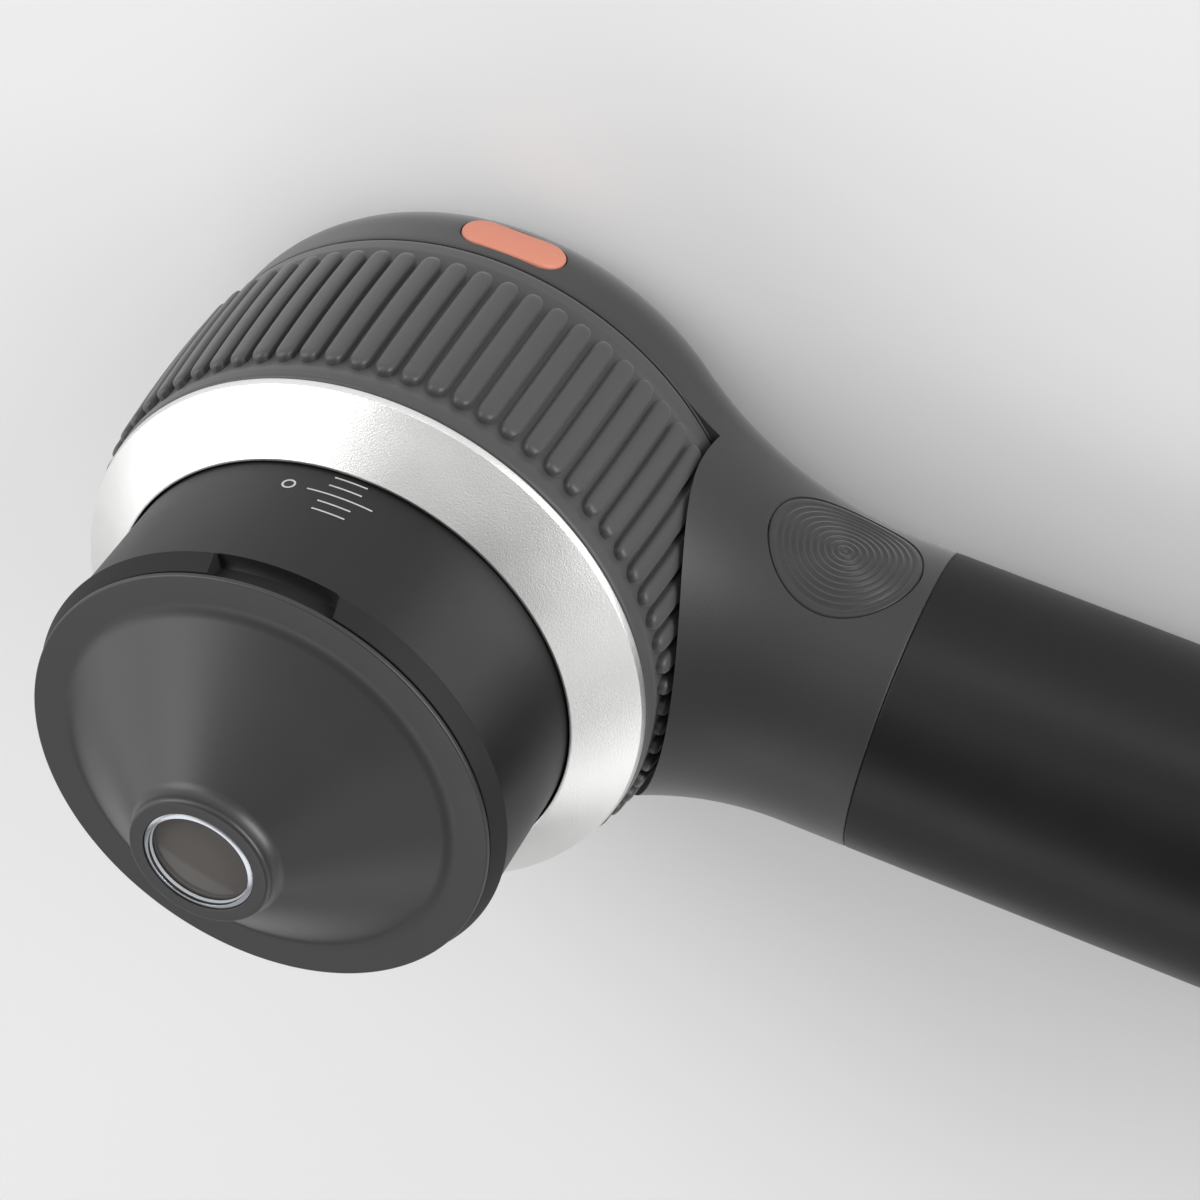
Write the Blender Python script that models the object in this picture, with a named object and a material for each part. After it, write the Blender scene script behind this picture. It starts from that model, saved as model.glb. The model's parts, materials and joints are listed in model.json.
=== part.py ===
"""Hand-held skin scope with a focusing barrel, a pull-off contact cone and a battery handle.

Lengths are in metres. The optical axis is +Z and the handle points along +X. The scope lies on its
back: the rear face of the head and the back of the handle lie on the plane z = 0.
"""

import math

import bmesh
import bpy
from mathutils import Matrix, Vector

# Clearances between pieces
SEAM_GAP = 0.0002
FIT_GAP = 0.0003
TRIM_GAP = 0.0001
POCKET_GAP = 0.0004

# Head, neck and handle outside
HANDLE_RADIUS = 0.01147
HANDLE_LENGTH = 0.0898
HANDLE_WALL = 0.0019
HEAD_RADIUS = 0.02295
HEAD_CROWN_ARC = 0.118
HEAD_BACK_FILLET = 0.0062
HEAD_REAR_HEIGHT = 0.0084
HEAD_WALL = 0.0017
HEAD_FLOOR = 0.002
NECK_FLARE_ARC = 0.027
NECK_STRAIGHT = 0.00484
NECK_WALL = 0.0014
NECK_SHELL = 0.00247
NECK_BACK_RISE = 0.00005
SPIGOT_LENGTH = 0.0048
SPIGOT_WALL = 0.00125

# Focus dial
DIAL_LENGTH = 0.0173
DIAL_WALL = 0.0019
RIB_COUNT = 72
RIB_HEIGHT = 0.00042
RIB_SHARE = 0.74
RIB_END_RAMP = 0.0007
RIB_REAR_MARGIN = 0.0021
RIB_FRONT_MARGIN = 0.0019

# Metal trim ring at the front of the dial
TRIM_LENGTH = 0.004
TRIM_REAR_STEP = 0.0002
TRIM_LIP = 0.00015
TRIM_TAIL_LENGTH = 0.0009
TRIM_TAIL_WALL = 0.0004

# Focusing barrel and its drive
BARREL_WALL = 0.0015
BARREL_REACH = 0.01238
FLANGE_STEP = 0.0003
FLANGE_LENGTH = 0.0014
FLANGE_TAPER = 0.00065
FOCUS_TRAVEL = 0.0021
FOCUS_TURN = math.radians(45)
NOTCH_START = math.radians(78)
NOTCH_END = math.radians(108)
NOTCH_LENGTH = 0.0018
NOTCH_DEPTH = 0.0011
GUIDE_WALL = 0.0011
GUIDE_FLANGE = 0.0012
GUIDE_COLLAR = 0.00085
CAM_WALL = 0.00125
CAM_PIN_COUNT = 3
CAM_PIN_RADIUS = 0.001
CAM_PIN_FIRST = math.radians(30)
SEAL_WIDTH = 0.0009
SEAL_DEPTH = 0.0006

# Screws that hold the guide sleeve
SCREW_COUNT = 4
SCREW_RADIUS = 0.0008
SCREW_LENGTH = 0.0055
SCREW_HEAD_RADIUS = 0.0013
SCREW_HEAD_LENGTH = 0.001
PILLAR_WALL = 0.0006

# Pull-off cone
CAP_RIM_STEP = 0.00045
CAP_RIM_WIDTH = 0.00275
CAP_RIM_LENGTH = 0.0004
CAP_RIM_ROUND = 0.0003
CAP_BASE_ROUND = 0.002
CAP_LENGTH = 0.0091
CAP_WALL = 0.0016
CAP_TIP_RADIUS = 0.00515
CAP_TIP_ROUND = 0.0009
CAP_TIP_EDGE = 0.00095
CAP_SPIGOT_LENGTH = 0.0032
CAP_SPIGOT_WALL = 0.0016
WINDOW_DEPTH = 0.0012
WINDOW_SEAT = 0.0007
WINDOW_SINK = 0.0005
WINDOW_BEZEL = 0.0004
CAP_SEAL_RADIUS = 0.0004

# Magnifier
LENS_EDGE = 0.0022
LENS_BULGE = 0.0016
LENS_SPACING = 0.0062
LENS_TUBE_WALL = 0.0011
LENS_TUBE_FLANGE = 0.0015
LENS_SEAT = 0.0011
RETAINER_LENGTH = 0.0016
RETAINER_WIDTH = 0.0012
BEZEL_LIP = 0.0008
BEZEL_SINK = 0.0002

# Ring light
BOARD_THICKNESS = 0.001
LED_COUNT = 8
LED_SIZE = 0.002
LED_HEIGHT = 0.0009
LED_APERTURE = 0.009
POLARISER_THICKNESS = 0.0005
FLEX_WIDTH = 0.004
FLEX_THICKNESS = 0.0003
FLEX_HEIGHT = 0.0041
PASSAGE_MARGIN = 0.0013

# Buttons and switches
POWER_BUTTON_RADIUS = 0.00565
POWER_BUTTON_BACK = 0.0067
POWER_BUTTON_GAP = 0.00015
POWER_BUTTON_SINK = 0.0001
POWER_BUTTON_DISH = 0.00035
POWER_BAR_REACH = 0.0006
POWER_BAR_HALF_WIDTH = 0.0032
POWER_BAR_THICKNESS = 0.0009
POWER_TRAVEL = 0.0006
BOOST_LENGTH = 0.0082
BOOST_WIDTH = 0.0036
BOOST_RIM = 0.00085
BOOST_GAP = 0.00015
BOOST_PROUD = 0.00025
BOOST_FLANGE = 0.0007
BOOST_FLANGE_THICKNESS = 0.0008
BOOST_TRAVEL = 0.0005
BOOST_SWITCH_SIZE = 0.0044
BOOST_SWITCH_DEPTH = 0.002
SWITCH_SIZE = 0.006
SWITCH_SLACK = 0.00015
CONTROL_BOARD_LENGTH = 0.0132
CONTROL_BOARD_GAP = 0.00172
CONTROL_BOARD_THICKNESS = 0.0016

# Battery and charging
CELL_GAP = 0.00037
CONTACT_THICKNESS = 0.0012
CONTACT_NUB_RADIUS = 0.003
CONTACT_NUB_LENGTH = 0.0026
SPRING_RADIUS = 0.0055
SPRING_WIRE = 0.0004
SPRING_TURNS = 3.5
SPRING_LENGTH = 0.005
END_CAP_LENGTH = 0.0083
END_CAP_ROUND = 0.0026
END_CAP_FLOOR = 0.0018
END_SPIGOT_LENGTH = 0.0045
CHARGE_BOARD_THICKNESS = 0.001
PORT_WIDTH = 0.009
PORT_HEIGHT = 0.0032
PORT_LENGTH = 0.0075
PORT_WALL = 0.0004
PORT_DEPTH = 0.0062
PORT_SINK = 0.0004

# Facets on a full turn
FINE_STEPS = 36
PLAIN_STEPS = 28
INNER_STEPS = 20
SMALL_STEPS = 10
NECK_SIDES = 14
NECK_STATIONS = 6
CUTTER_TURN = math.radians(1.7)
NECK_POINT = math.radians(2)

# Heights along the optical axis, from the back
axis_z = HANDLE_RADIUS
dial_rear = HEAD_REAR_HEIGHT + SEAM_GAP
dial_front = dial_rear + DIAL_LENGTH
trim_rear = dial_front + TRIM_GAP
trim_front = trim_rear + TRIM_LENGTH
barrel_front = trim_front + BARREL_REACH
guide_base = HEAD_REAR_HEIGHT + 2 * FIT_GAP
guide_seat = guide_base + GUIDE_FLANGE
screw_top = guide_seat + SCREW_HEAD_LENGTH
barrel_rear = screw_top + FOCUS_TRAVEL + 3 * FIT_GAP
guide_front = trim_rear - 2 * FIT_GAP
cam_rear = screw_top + 2 * FIT_GAP
cam_front = guide_front - GUIDE_FLANGE - FIT_GAP
cam_middle = (cam_rear + cam_front) / 2
cap_rear = barrel_front + SEAM_GAP
cap_face = cap_rear + CAP_RIM_LENGTH
cap_tip = cap_rear + CAP_LENGTH
window_front = cap_tip - WINDOW_SINK
window_rear = window_front - WINDOW_DEPTH

# Radii about the optical axis
dial_bore = HEAD_RADIUS - DIAL_WALL
cam_radius = dial_bore - FIT_GAP
cam_bore = cam_radius - CAM_WALL
guide_radius = cam_bore - FIT_GAP
guide_bore = guide_radius - GUIDE_WALL
barrel_radius = guide_bore - FIT_GAP
barrel_bore = barrel_radius - BARREL_WALL
bowl_bore = HEAD_RADIUS - HEAD_WALL
pocket_radius = HEAD_RADIUS + RIB_HEIGHT + POCKET_GAP
pillar_radius = SCREW_RADIUS + FIT_GAP + PILLAR_WALL
screw_circle = guide_bore - pillar_radius
guide_flange_bore = screw_circle - pillar_radius
lens_flange_radius = guide_flange_bore - SEAM_GAP
lens_tube_radius = lens_flange_radius - LENS_TUBE_FLANGE
lens_tube_bore = lens_tube_radius - LENS_TUBE_WALL
lens_radius = lens_tube_bore - FIT_GAP
floor_opening = lens_tube_radius + FIT_GAP
bezel_radius = floor_opening - FIT_GAP
bezel_bore = lens_radius - BEZEL_LIP
board_radius = barrel_bore - FIT_GAP
cap_spigot_radius = barrel_bore - FIT_GAP
cap_bore = cap_spigot_radius - CAP_SPIGOT_WALL
cap_rim_radius = barrel_radius - CAP_RIM_STEP
cap_face_radius = cap_rim_radius - CAP_RIM_WIDTH
bezel_seat_radius = CAP_TIP_RADIUS - CAP_TIP_EDGE
window_radius = bezel_seat_radius - TRIM_GAP - WINDOW_BEZEL - TRIM_GAP

# Magnifier heights
lens_tube_rear = HEAD_FLOOR + FIT_GAP
eyepiece_rear = lens_tube_rear + LENS_SEAT
spacer_rear = eyepiece_rear + LENS_EDGE + FIT_GAP
spacer_front = spacer_rear + LENS_SPACING
objective_rear = spacer_front + FIT_GAP
retainer_rear = objective_rear + LENS_EDGE + FIT_GAP
retainer_front = retainer_rear + RETAINER_LENGTH
board_rear = retainer_front + FIT_GAP
board_front = board_rear + BOARD_THICKNESS
led_rear = board_front + FIT_GAP
polariser_rear = led_rear + LED_HEIGHT + FIT_GAP
led_circle = (board_radius + LED_APERTURE) / 2

# Places along the handle, from the optical axis
flare_end = math.sqrt((HEAD_RADIUS + NECK_FLARE_ARC) ** 2 - (HANDLE_RADIUS + NECK_FLARE_ARC) ** 2)
flare_start = flare_end * HEAD_RADIUS / (HEAD_RADIUS + NECK_FLARE_ARC)
neck_end = flare_end + NECK_STRAIGHT
neck_cavity_start = pocket_radius + NECK_WALL
neck_bore = HANDLE_RADIUS - NECK_SHELL
handle_end = neck_end + HANDLE_LENGTH
sleeve_start = neck_end + SEAM_GAP
end_cap_start = handle_end - END_CAP_LENGTH
sleeve_end = end_cap_start - SEAM_GAP
sleeve_bore = HANDLE_RADIUS - HANDLE_WALL
spigot_end = neck_end + SPIGOT_LENGTH
spigot_radius = sleeve_bore - FIT_GAP
spigot_bore = spigot_radius - SPIGOT_WALL
contact_start = spigot_end + FIT_GAP
contact_end = contact_start + CONTACT_THICKNESS
port_end = handle_end - PORT_SINK
port_start = port_end - PORT_LENGTH
charge_board_end = port_start - FIT_GAP
charge_board_start = charge_board_end - CHARGE_BOARD_THICKNESS
spring_end = charge_board_start - FIT_GAP - SPRING_WIRE
spring_start = spring_end - SPRING_LENGTH
cell_start = contact_end + CONTACT_NUB_LENGTH + FIT_GAP
cell_end = spring_start - FIT_GAP - SPRING_WIRE
cell_radius = sleeve_bore - CELL_GAP
control_board_start = neck_cavity_start + 4 * FIT_GAP
control_board_end = control_board_start + CONTROL_BOARD_LENGTH
control_board_half_height = spigot_bore - CONTROL_BOARD_GAP
power_button_x = neck_end - POWER_BUTTON_BACK

# The part's own origin is under the middle of its outline, so the optical axis stands off it
optical_x = -(handle_end - HEAD_RADIUS - RIB_HEIGHT) / 2


def clear_scene():
    for obj in list(bpy.data.objects):
        bpy.data.objects.remove(obj, do_unlink=True)


def finish(name, colour, roughness, metallic=0.0):
    """A plain surface finish."""
    made = bpy.data.materials.new(name)
    made.use_nodes = True
    shader = made.node_tree.nodes["Principled BSDF"]
    shader.inputs["Base Color"].default_value = (*colour, 1.0)
    shader.inputs["Roughness"].default_value = roughness
    shader.inputs["Metallic"].default_value = metallic
    made.diffuse_color = (*colour, 1.0)
    return made


def place(name, mesh, look, parent, origin=(0, 0, 0)):
    """Turns a bmesh into a named object whose own origin is the given point of the device."""
    bmesh.ops.translate(mesh, verts=mesh.verts, vec=-Vector(origin))
    data = bpy.data.meshes.new(name)
    mesh.to_mesh(data)
    mesh.free()
    if look:
        data.materials.append(look)
    data.shade_smooth()
    data.set_sharp_from_angle(angle=math.radians(35))
    obj = bpy.data.objects.new(name, data)
    obj.parent = parent
    obj.location = origin
    bpy.context.scene.collection.objects.link(obj)
    return obj


def cutter(name, mesh, parent):
    """A helper shape that only other pieces use."""
    obj = place(name, mesh, None, parent)
    obj.hide_render = True
    obj.display_type = "WIRE"
    return obj


def combine(obj, operation, helper):
    step = obj.modifiers.new(f"{operation.lower()} {helper.name}", "BOOLEAN")
    step.operation = operation
    step.solver = "EXACT"
    step.object = helper


def turned(profile, steps):
    """Spins an outline of (radius, height) points about Z. One with both ends on the axis stays open."""
    mesh = bmesh.new()
    points = [mesh.verts.new((radius, 0, height)) for radius, height in profile]
    edges = [mesh.edges.new(pair) for pair in zip(points, points[1:])]
    if max(profile[0][0], profile[-1][0]) > TRIM_GAP:
        edges.append(mesh.edges.new((points[-1], points[0])))
    bmesh.ops.spin(
        mesh,
        geom=points + edges,
        cent=(0, 0, 0),
        axis=(0, 0, 1),
        angle=2 * math.pi,
        steps=steps,
        use_merge=True,
    )
    bmesh.ops.remove_doubles(mesh, verts=mesh.verts, dist=1e-7)
    bmesh.ops.recalc_face_normals(mesh, faces=mesh.faces)
    return mesh


def tube(bore, radius, low, high, steps=PLAIN_STEPS):
    return turned([(bore, high), (radius, high), (radius, low), (bore, low)], steps)


def rod(radius, low, high, steps=PLAIN_STEPS):
    return turned([(0, high), (radius, high), (radius, low), (0, low)], steps)


def arc(centre_radius, centre_height, radius, start, end, count):
    """Points on a circle in the plane of an outline, by angle in degrees from outward."""
    turns = [math.radians(start + (end - start) * i / count) for i in range(count + 1)]
    return [
        (centre_radius + radius * math.cos(turn), centre_height + radius * math.sin(turn))
        for turn in turns
    ]


def block(low, high):
    mesh = bmesh.new()
    size = Vector(high) - Vector(low)
    middle = (Vector(high) + Vector(low)) / 2
    bmesh.ops.create_cube(mesh, size=1, matrix=Matrix.Translation(middle) @ Matrix.Diagonal((*size, 1)))
    return mesh


def prism(outline, low, high):
    """Extrudes an outline of (x, y) points along Z."""
    mesh = bmesh.new()
    face = mesh.faces.new([mesh.verts.new((x, y, low)) for x, y in outline])
    grown = bmesh.ops.extrude_face_region(mesh, geom=[face])
    top = [item for item in grown["geom"] if isinstance(item, bmesh.types.BMVert)]
    bmesh.ops.translate(mesh, verts=top, vec=(0, 0, high - low))
    bmesh.ops.recalc_face_normals(mesh, faces=mesh.faces)
    return mesh


def stadium(length, width, count=6):
    """A slot outline with round ends, long in x."""
    reach = (length - width) / 2
    right = arc(reach, 0, width / 2, -90, 90, count)
    left = arc(-reach, 0, width / 2, 90, 270, count)
    return right + left


def joined(*meshes):
    """One helper mesh made of separate shells."""
    whole = bmesh.new()
    for mesh in meshes:
        data = bpy.data.meshes.new("shell")
        mesh.to_mesh(data)
        mesh.free()
        whole.from_mesh(data)
        bpy.data.meshes.remove(data)
    return whole


def moved(mesh, matrix):
    bmesh.ops.transform(mesh, matrix=matrix, verts=mesh.verts)
    return mesh


def along_handle(mesh):
    """Lays a shape made along Z on the axis of the handle."""
    return moved(mesh, Matrix.Translation((0, 0, axis_z)) @ Matrix.Rotation(math.pi / 2, 4, "Y"))


def to_side(mesh, side, x, z):
    """Turns a shape made along Z to stand out of the left (1) or right (-1) side."""
    turn = Matrix.Rotation(-math.pi / 2, 4, "X")
    return moved(mesh, Matrix.Translation((x, 0, z)) @ Matrix.Rotation(math.pi * (side < 0), 4, "Z") @ turn)


def around(mesh_of, count, first=0.0):
    """Copies of a shape at even angles about the optical axis."""
    turns = [first + 2 * math.pi * i / count for i in range(count)]
    return [moved(mesh_of(), Matrix.Rotation(turn, 4, "Z")) for turn in turns]


def crown(height, grow=0.0):
    """Radius of the barrel-shaped side of the head at a height."""
    rise = height - axis_z
    return HEAD_RADIUS + grow - HEAD_CROWN_ARC + math.sqrt(HEAD_CROWN_ARC**2 - rise**2)


def heights(low, high, count):
    return [low + (high - low) * i / count for i in range(count + 1)]


def neck_radius(x):
    back = max(0.0, flare_end - x)
    return HANDLE_RADIUS + NECK_FLARE_ARC - math.sqrt(NECK_FLARE_ARC**2 - back**2)


def neck_outline(x, grow):
    """Half of the neck's section at x: a circle about the handle's axis, flattened at the back."""
    radius = neck_radius(x) + grow
    back = HANDLE_RADIUS - NECK_BACK_RISE + grow
    round_off = min(HEAD_BACK_FILLET, 0.9 * back)
    reach = math.sqrt(max(0.0, (radius - round_off) ** 2 - (back - round_off) ** 2))
    limit = math.pi - math.atan2(reach, back - round_off)
    points = []
    for i in range(NECK_SIDES + 1):
        turn = math.pi * i / NECK_SIDES
        if turn <= limit:
            points.append((radius * math.sin(turn), radius * math.cos(turn)))
        else:
            drop = back - round_off
            points.append((reach + round_off * math.sin(turn), round_off * math.cos(turn) - drop))
    return points


def neck_solid(grow=0.0):
    """The flared neck, from inside the head to the handle seam, with the spigot that enters the handle."""
    mesh = bmesh.new()
    rings = []
    for x in heights(flare_start, flare_end, NECK_STATIONS) + [neck_end]:
        half = neck_outline(x, grow)
        section = half + [(-y, z) for y, z in reversed(half[1:])]
        rings.append([mesh.verts.new((x, y, z + axis_z)) for y, z in section])
    for x in (neck_end, spigot_end):
        turns = [math.pi * i / NECK_SIDES for i in range(NECK_SIDES)] + [math.pi - NECK_POINT]
        half = [(spigot_radius * math.sin(turn), spigot_radius * math.cos(turn)) for turn in turns]
        ring = half + [(-y, z) for y, z in reversed(half[1:])]
        rings.append([mesh.verts.new((x, y, z + axis_z)) for y, z in ring])
    for ring, after in zip(rings, rings[1:]):
        bridge(mesh, ring, after)
    mesh.faces.new(rings[0])
    mesh.faces.new(rings[-1])
    bmesh.ops.remove_doubles(mesh, verts=mesh.verts, dist=1e-6)
    bmesh.ops.recalc_face_normals(mesh, faces=mesh.faces)
    return mesh


def head_outline(grow=0.0):
    """Outer outline of the rear of the head, from the edge of its flat back to the seam."""
    edge = crown(HEAD_BACK_FILLET, grow) - HEAD_BACK_FILLET - grow
    rounding = arc(edge, HEAD_BACK_FILLET, HEAD_BACK_FILLET + grow, -90, 0, 6)
    side = [(crown(HEAD_REAR_HEIGHT, grow), HEAD_REAR_HEIGHT)]
    return rounding + side


def head_core():
    """Space that the neck must not fill: inside the wall below the seam, and the dial's pocket above it."""
    inner = HEAD_RADIUS - HEAD_WALL / 2
    seam = HEAD_REAR_HEIGHT - TRIM_GAP
    top = 2 * dial_front
    wall = [(crown(z, RIB_HEIGHT + POCKET_GAP), z) for z in heights(seam, dial_front, 6)]
    below = [(0, -HEAD_FLOOR), (inner, -HEAD_FLOOR), (inner, seam)]
    outline = below + wall + [(wall[-1][0], top), (0, top)]
    return moved(turned(outline, FINE_STEPS), Matrix.Rotation(CUTTER_TURN, 4, "Z"))


def rear_housing(look, parent):
    """Rear shell of the head with the flared neck, the dial's pocket and the screw pillars."""
    bowl = head_outline() + [
        (bowl_bore, HEAD_REAR_HEIGHT),
        (bowl_bore, HEAD_FLOOR),
        (floor_opening, HEAD_FLOOR),
        (floor_opening, 0),
    ]
    shell = place("rear_housing", turned(bowl, FINE_STEPS), look, parent)
    neck = cutter("neck_form", neck_solid(), parent)
    combine(neck, "DIFFERENCE", cutter("head_core", head_core(), parent))
    combine(shell, "UNION", neck)
    hollow = [
        (0, neck_cavity_start),
        (neck_bore, neck_cavity_start),
        (neck_bore, neck_end - NECK_WALL),
        (spigot_bore, neck_end - NECK_WALL),
        (spigot_bore, spigot_end + NECK_WALL),
        (0, spigot_end + NECK_WALL),
    ]
    cavity = moved(turned(hollow, PLAIN_STEPS), Matrix.Rotation(CUTTER_TURN, 4, "Z"))
    combine(shell, "DIFFERENCE", cutter("neck_hollow", along_handle(cavity), parent))
    passage = block(
        (bowl_bore - HEAD_WALL, -FLEX_WIDTH / 2 - PASSAGE_MARGIN, FLEX_HEIGHT - PASSAGE_MARGIN),
        (neck_cavity_start + NECK_WALL, FLEX_WIDTH / 2 + PASSAGE_MARGIN, FLEX_HEIGHT + PASSAGE_MARGIN),
    )
    combine(shell, "DIFFERENCE", cutter("flex_passage", passage, parent))
    combine(shell, "UNION", cutter("pillars", joined(*around(pillar, SCREW_COUNT, math.pi / 4)), parent))
    power_holes = [power_button_hole(side) for side in (1, -1)]
    combine(shell, "DIFFERENCE", cutter("power_button_holes", joined(*power_holes), parent))
    boost_holes = [boost_button_hole(side) for side in (1, -1)]
    combine(shell, "DIFFERENCE", cutter("boost_button_holes", joined(*boost_holes), parent))


def pillar():
    """Post with a blind hole for one screw."""
    top = guide_base - FIT_GAP
    bore = SCREW_RADIUS + FIT_GAP
    bottom = guide_seat - SCREW_LENGTH - 2 * FIT_GAP
    outline = [(0, bottom), (bore, bottom), (bore, top), (pillar_radius, top)]
    outline += [(pillar_radius, HEAD_FLOOR / 2), (0, HEAD_FLOOR / 2)]
    return moved(turned(outline, SMALL_STEPS), Matrix.Translation((screw_circle, 0, 0)))


def screw_hole():
    hole = rod(SCREW_RADIUS + FIT_GAP, guide_base - GUIDE_FLANGE, screw_top, SMALL_STEPS)
    return moved(hole, Matrix.Translation((screw_circle, 0, 0)))


def screw():
    foot = guide_seat - SCREW_LENGTH
    head = guide_seat + FIT_GAP
    outline = [
        (0, head + SCREW_HEAD_LENGTH),
        (SCREW_HEAD_RADIUS, head + SCREW_HEAD_LENGTH),
        (SCREW_HEAD_RADIUS, head),
        (SCREW_RADIUS, head),
        (SCREW_RADIUS, foot),
        (0, foot),
    ]
    return moved(turned(outline, SMALL_STEPS), Matrix.Translation((screw_circle, 0, 0)))


def focus_dial(look, parent):
    """Ribbed grip ring: raised bars with ramped ends on the barrel-shaped side."""
    rib_rear = dial_rear + RIB_REAR_MARGIN
    rib_front = dial_front - RIB_FRONT_MARGIN
    raised = heights(rib_rear + RIB_END_RAMP, rib_front - RIB_END_RAMP, 2)
    rows = [(dial_rear, 0), (rib_rear, 0)]
    rows += [(z, RIB_HEIGHT) for z in raised]
    rows += [(rib_front, 0), (dial_front, 0)]
    pitch = 2 * math.pi / RIB_COUNT
    columns = []
    for i in range(RIB_COUNT):
        groove = (pitch * (i - 0.5), 0)
        columns += [groove, (pitch * (i - RIB_SHARE / 2), 1), (pitch * (i + RIB_SHARE / 2), 1)]
    mesh = bmesh.new()
    rings = [[corner(mesh, crown(z) + rise * top, turn, z) for turn, top in columns] for z, rise in rows]
    for ring, after in zip(rings, rings[1:]):
        bridge(mesh, ring, after)
    grooves = [turn for turn, _ in columns[::3]]
    rear = [corner(mesh, dial_bore, turn, dial_rear) for turn in grooves]
    front = [corner(mesh, dial_bore, turn, dial_front) for turn in grooves]
    bridge(mesh, rear, front)
    for inner, outer in ((rear, rings[0]), (front, rings[-1])):
        for i in range(RIB_COUNT):
            j = (i + 1) % RIB_COUNT
            mesh.faces.new([inner[j], inner[i]] + outer[3 * i : 3 * i + 3] + [outer[3 * j]])
    bmesh.ops.recalc_face_normals(mesh, faces=mesh.faces)
    place("focus_dial", mesh, look, parent)


def corner(mesh, radius, turn, z):
    return mesh.verts.new((radius * math.cos(turn), radius * math.sin(turn), z))


def bridge(mesh, ring, after):
    """Joins two rings of as many points with four-sided faces."""
    for i in range(len(ring)):
        j = (i + 1) % len(ring)
        mesh.faces.new((ring[i], ring[j], after[j], after[i]))


def trim_ring(look, parent):
    """Conical metal ring, with a tail that sits in the dial's bore."""
    bore = barrel_radius + FIT_GAP
    rear_radius = crown(dial_front) + TRIM_REAR_STEP
    tail_radius = dial_bore - FIT_GAP
    outline = [
        (bore, trim_front),
        (bore + TRIM_LIP, trim_front),
        (rear_radius, trim_rear + TRIM_REAR_STEP),
        (rear_radius - TRIM_REAR_STEP, trim_rear),
        (tail_radius, trim_rear),
        (tail_radius, trim_rear - TRIM_TAIL_LENGTH),
        (tail_radius - TRIM_TAIL_WALL, trim_rear - TRIM_TAIL_LENGTH),
        (tail_radius - TRIM_TAIL_WALL, trim_rear),
        (bore, trim_rear),
    ]
    place("trim_ring", turned(outline, FINE_STEPS), look, parent)


def cam_slot():
    """Cutter of one helical slot: the pin's path as the dial turns, with room for the pin."""
    half = CAM_PIN_RADIUS + FIT_GAP
    slope = FOCUS_TRAVEL / FOCUS_TURN
    reach = FOCUS_TURN + half / cam_bore
    mesh = bmesh.new()
    sections = []
    low = cam_bore - CAM_WALL / 2
    high = cam_radius + CAM_WALL / 2
    for turn in heights(-reach, reach, 10):
        z = cam_middle - slope * turn
        edges = [(low, -half), (high, -half), (high, half), (low, half)]
        sections.append([corner(mesh, radius, turn, z + rise) for radius, rise in edges])
    for section, after in zip(sections, sections[1:]):
        bridge(mesh, section, after)
    mesh.faces.new(sections[0])
    mesh.faces.new(sections[-1])
    bmesh.ops.recalc_face_normals(mesh, faces=mesh.faces)
    return mesh


def cam_ring(look, parent):
    ring = place("cam_ring", tube(cam_bore, cam_radius, cam_rear, cam_front), look, parent)
    slots = joined(*around(cam_slot, CAM_PIN_COUNT, CAM_PIN_FIRST))
    combine(ring, "DIFFERENCE", cutter("cam_slots", slots, parent))


def guide_slot():
    half = CAM_PIN_RADIUS + FIT_GAP
    reach = FOCUS_TRAVEL + half
    return block((guide_bore - GUIDE_WALL, -half, cam_middle - reach), (cam_bore, half, cam_middle + reach))


def guide_sleeve(look, parent):
    """Fixed sleeve: a flange for the screws, straight slots for the pins and a collar over the cam ring."""
    collar = guide_radius + GUIDE_COLLAR
    groove = guide_bore + SEAL_DEPTH
    groove_low = guide_front - SEAL_WIDTH - FIT_GAP
    outline = [
        (groove, guide_front),
        (collar, guide_front),
        (collar, guide_front - GUIDE_FLANGE),
        (guide_radius, guide_front - GUIDE_FLANGE),
        (guide_radius, guide_base),
        (guide_flange_bore, guide_base),
        (guide_flange_bore, guide_seat),
        (guide_bore, guide_seat),
        (guide_bore, groove_low),
        (groove, groove_low),
    ]
    sleeve = place("guide_sleeve", turned(outline, PLAIN_STEPS), look, parent)
    slots = joined(*around(guide_slot, CAM_PIN_COUNT, CAM_PIN_FIRST))
    combine(sleeve, "DIFFERENCE", cutter("guide_slots", slots, parent))
    holes = joined(*around(screw_hole, SCREW_COUNT, math.pi / 4))
    combine(sleeve, "DIFFERENCE", cutter("guide_screw_holes", holes, parent))


def barrel_seal(look, parent):
    bore = barrel_radius + SEAM_GAP
    radius = guide_bore + SEAL_DEPTH - SEAM_GAP
    place("barrel_seal", tube(bore, radius, guide_front - SEAL_WIDTH, guide_front), look, parent)


def cam_pin():
    pin = rod(CAM_PIN_RADIUS, barrel_bore + FIT_GAP, cam_radius - FIT_GAP, SMALL_STEPS)
    return moved(pin, Matrix.Translation((0, 0, cam_middle)) @ Matrix.Rotation(math.pi / 2, 4, "Y"))


def pin_hole():
    hole = rod(CAM_PIN_RADIUS + SEAM_GAP, barrel_bore / 1.1, cam_radius, SMALL_STEPS)
    return moved(hole, Matrix.Translation((0, 0, cam_middle)) @ Matrix.Rotation(math.pi / 2, 4, "Y"))


def notch_form():
    """Fingernail notch: a wedge of the flange under the rim of the cone."""
    low = barrel_radius - NOTCH_DEPTH
    high = barrel_radius + 4 * FLANGE_STEP
    turns = heights(NOTCH_START, NOTCH_END, 6)
    outline = [(high * math.cos(turn), high * math.sin(turn)) for turn in turns]
    outline += [(low * math.cos(turn), low * math.sin(turn)) for turn in reversed(turns)]
    return prism(outline, barrel_front - NOTCH_LENGTH, cap_face)


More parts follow.
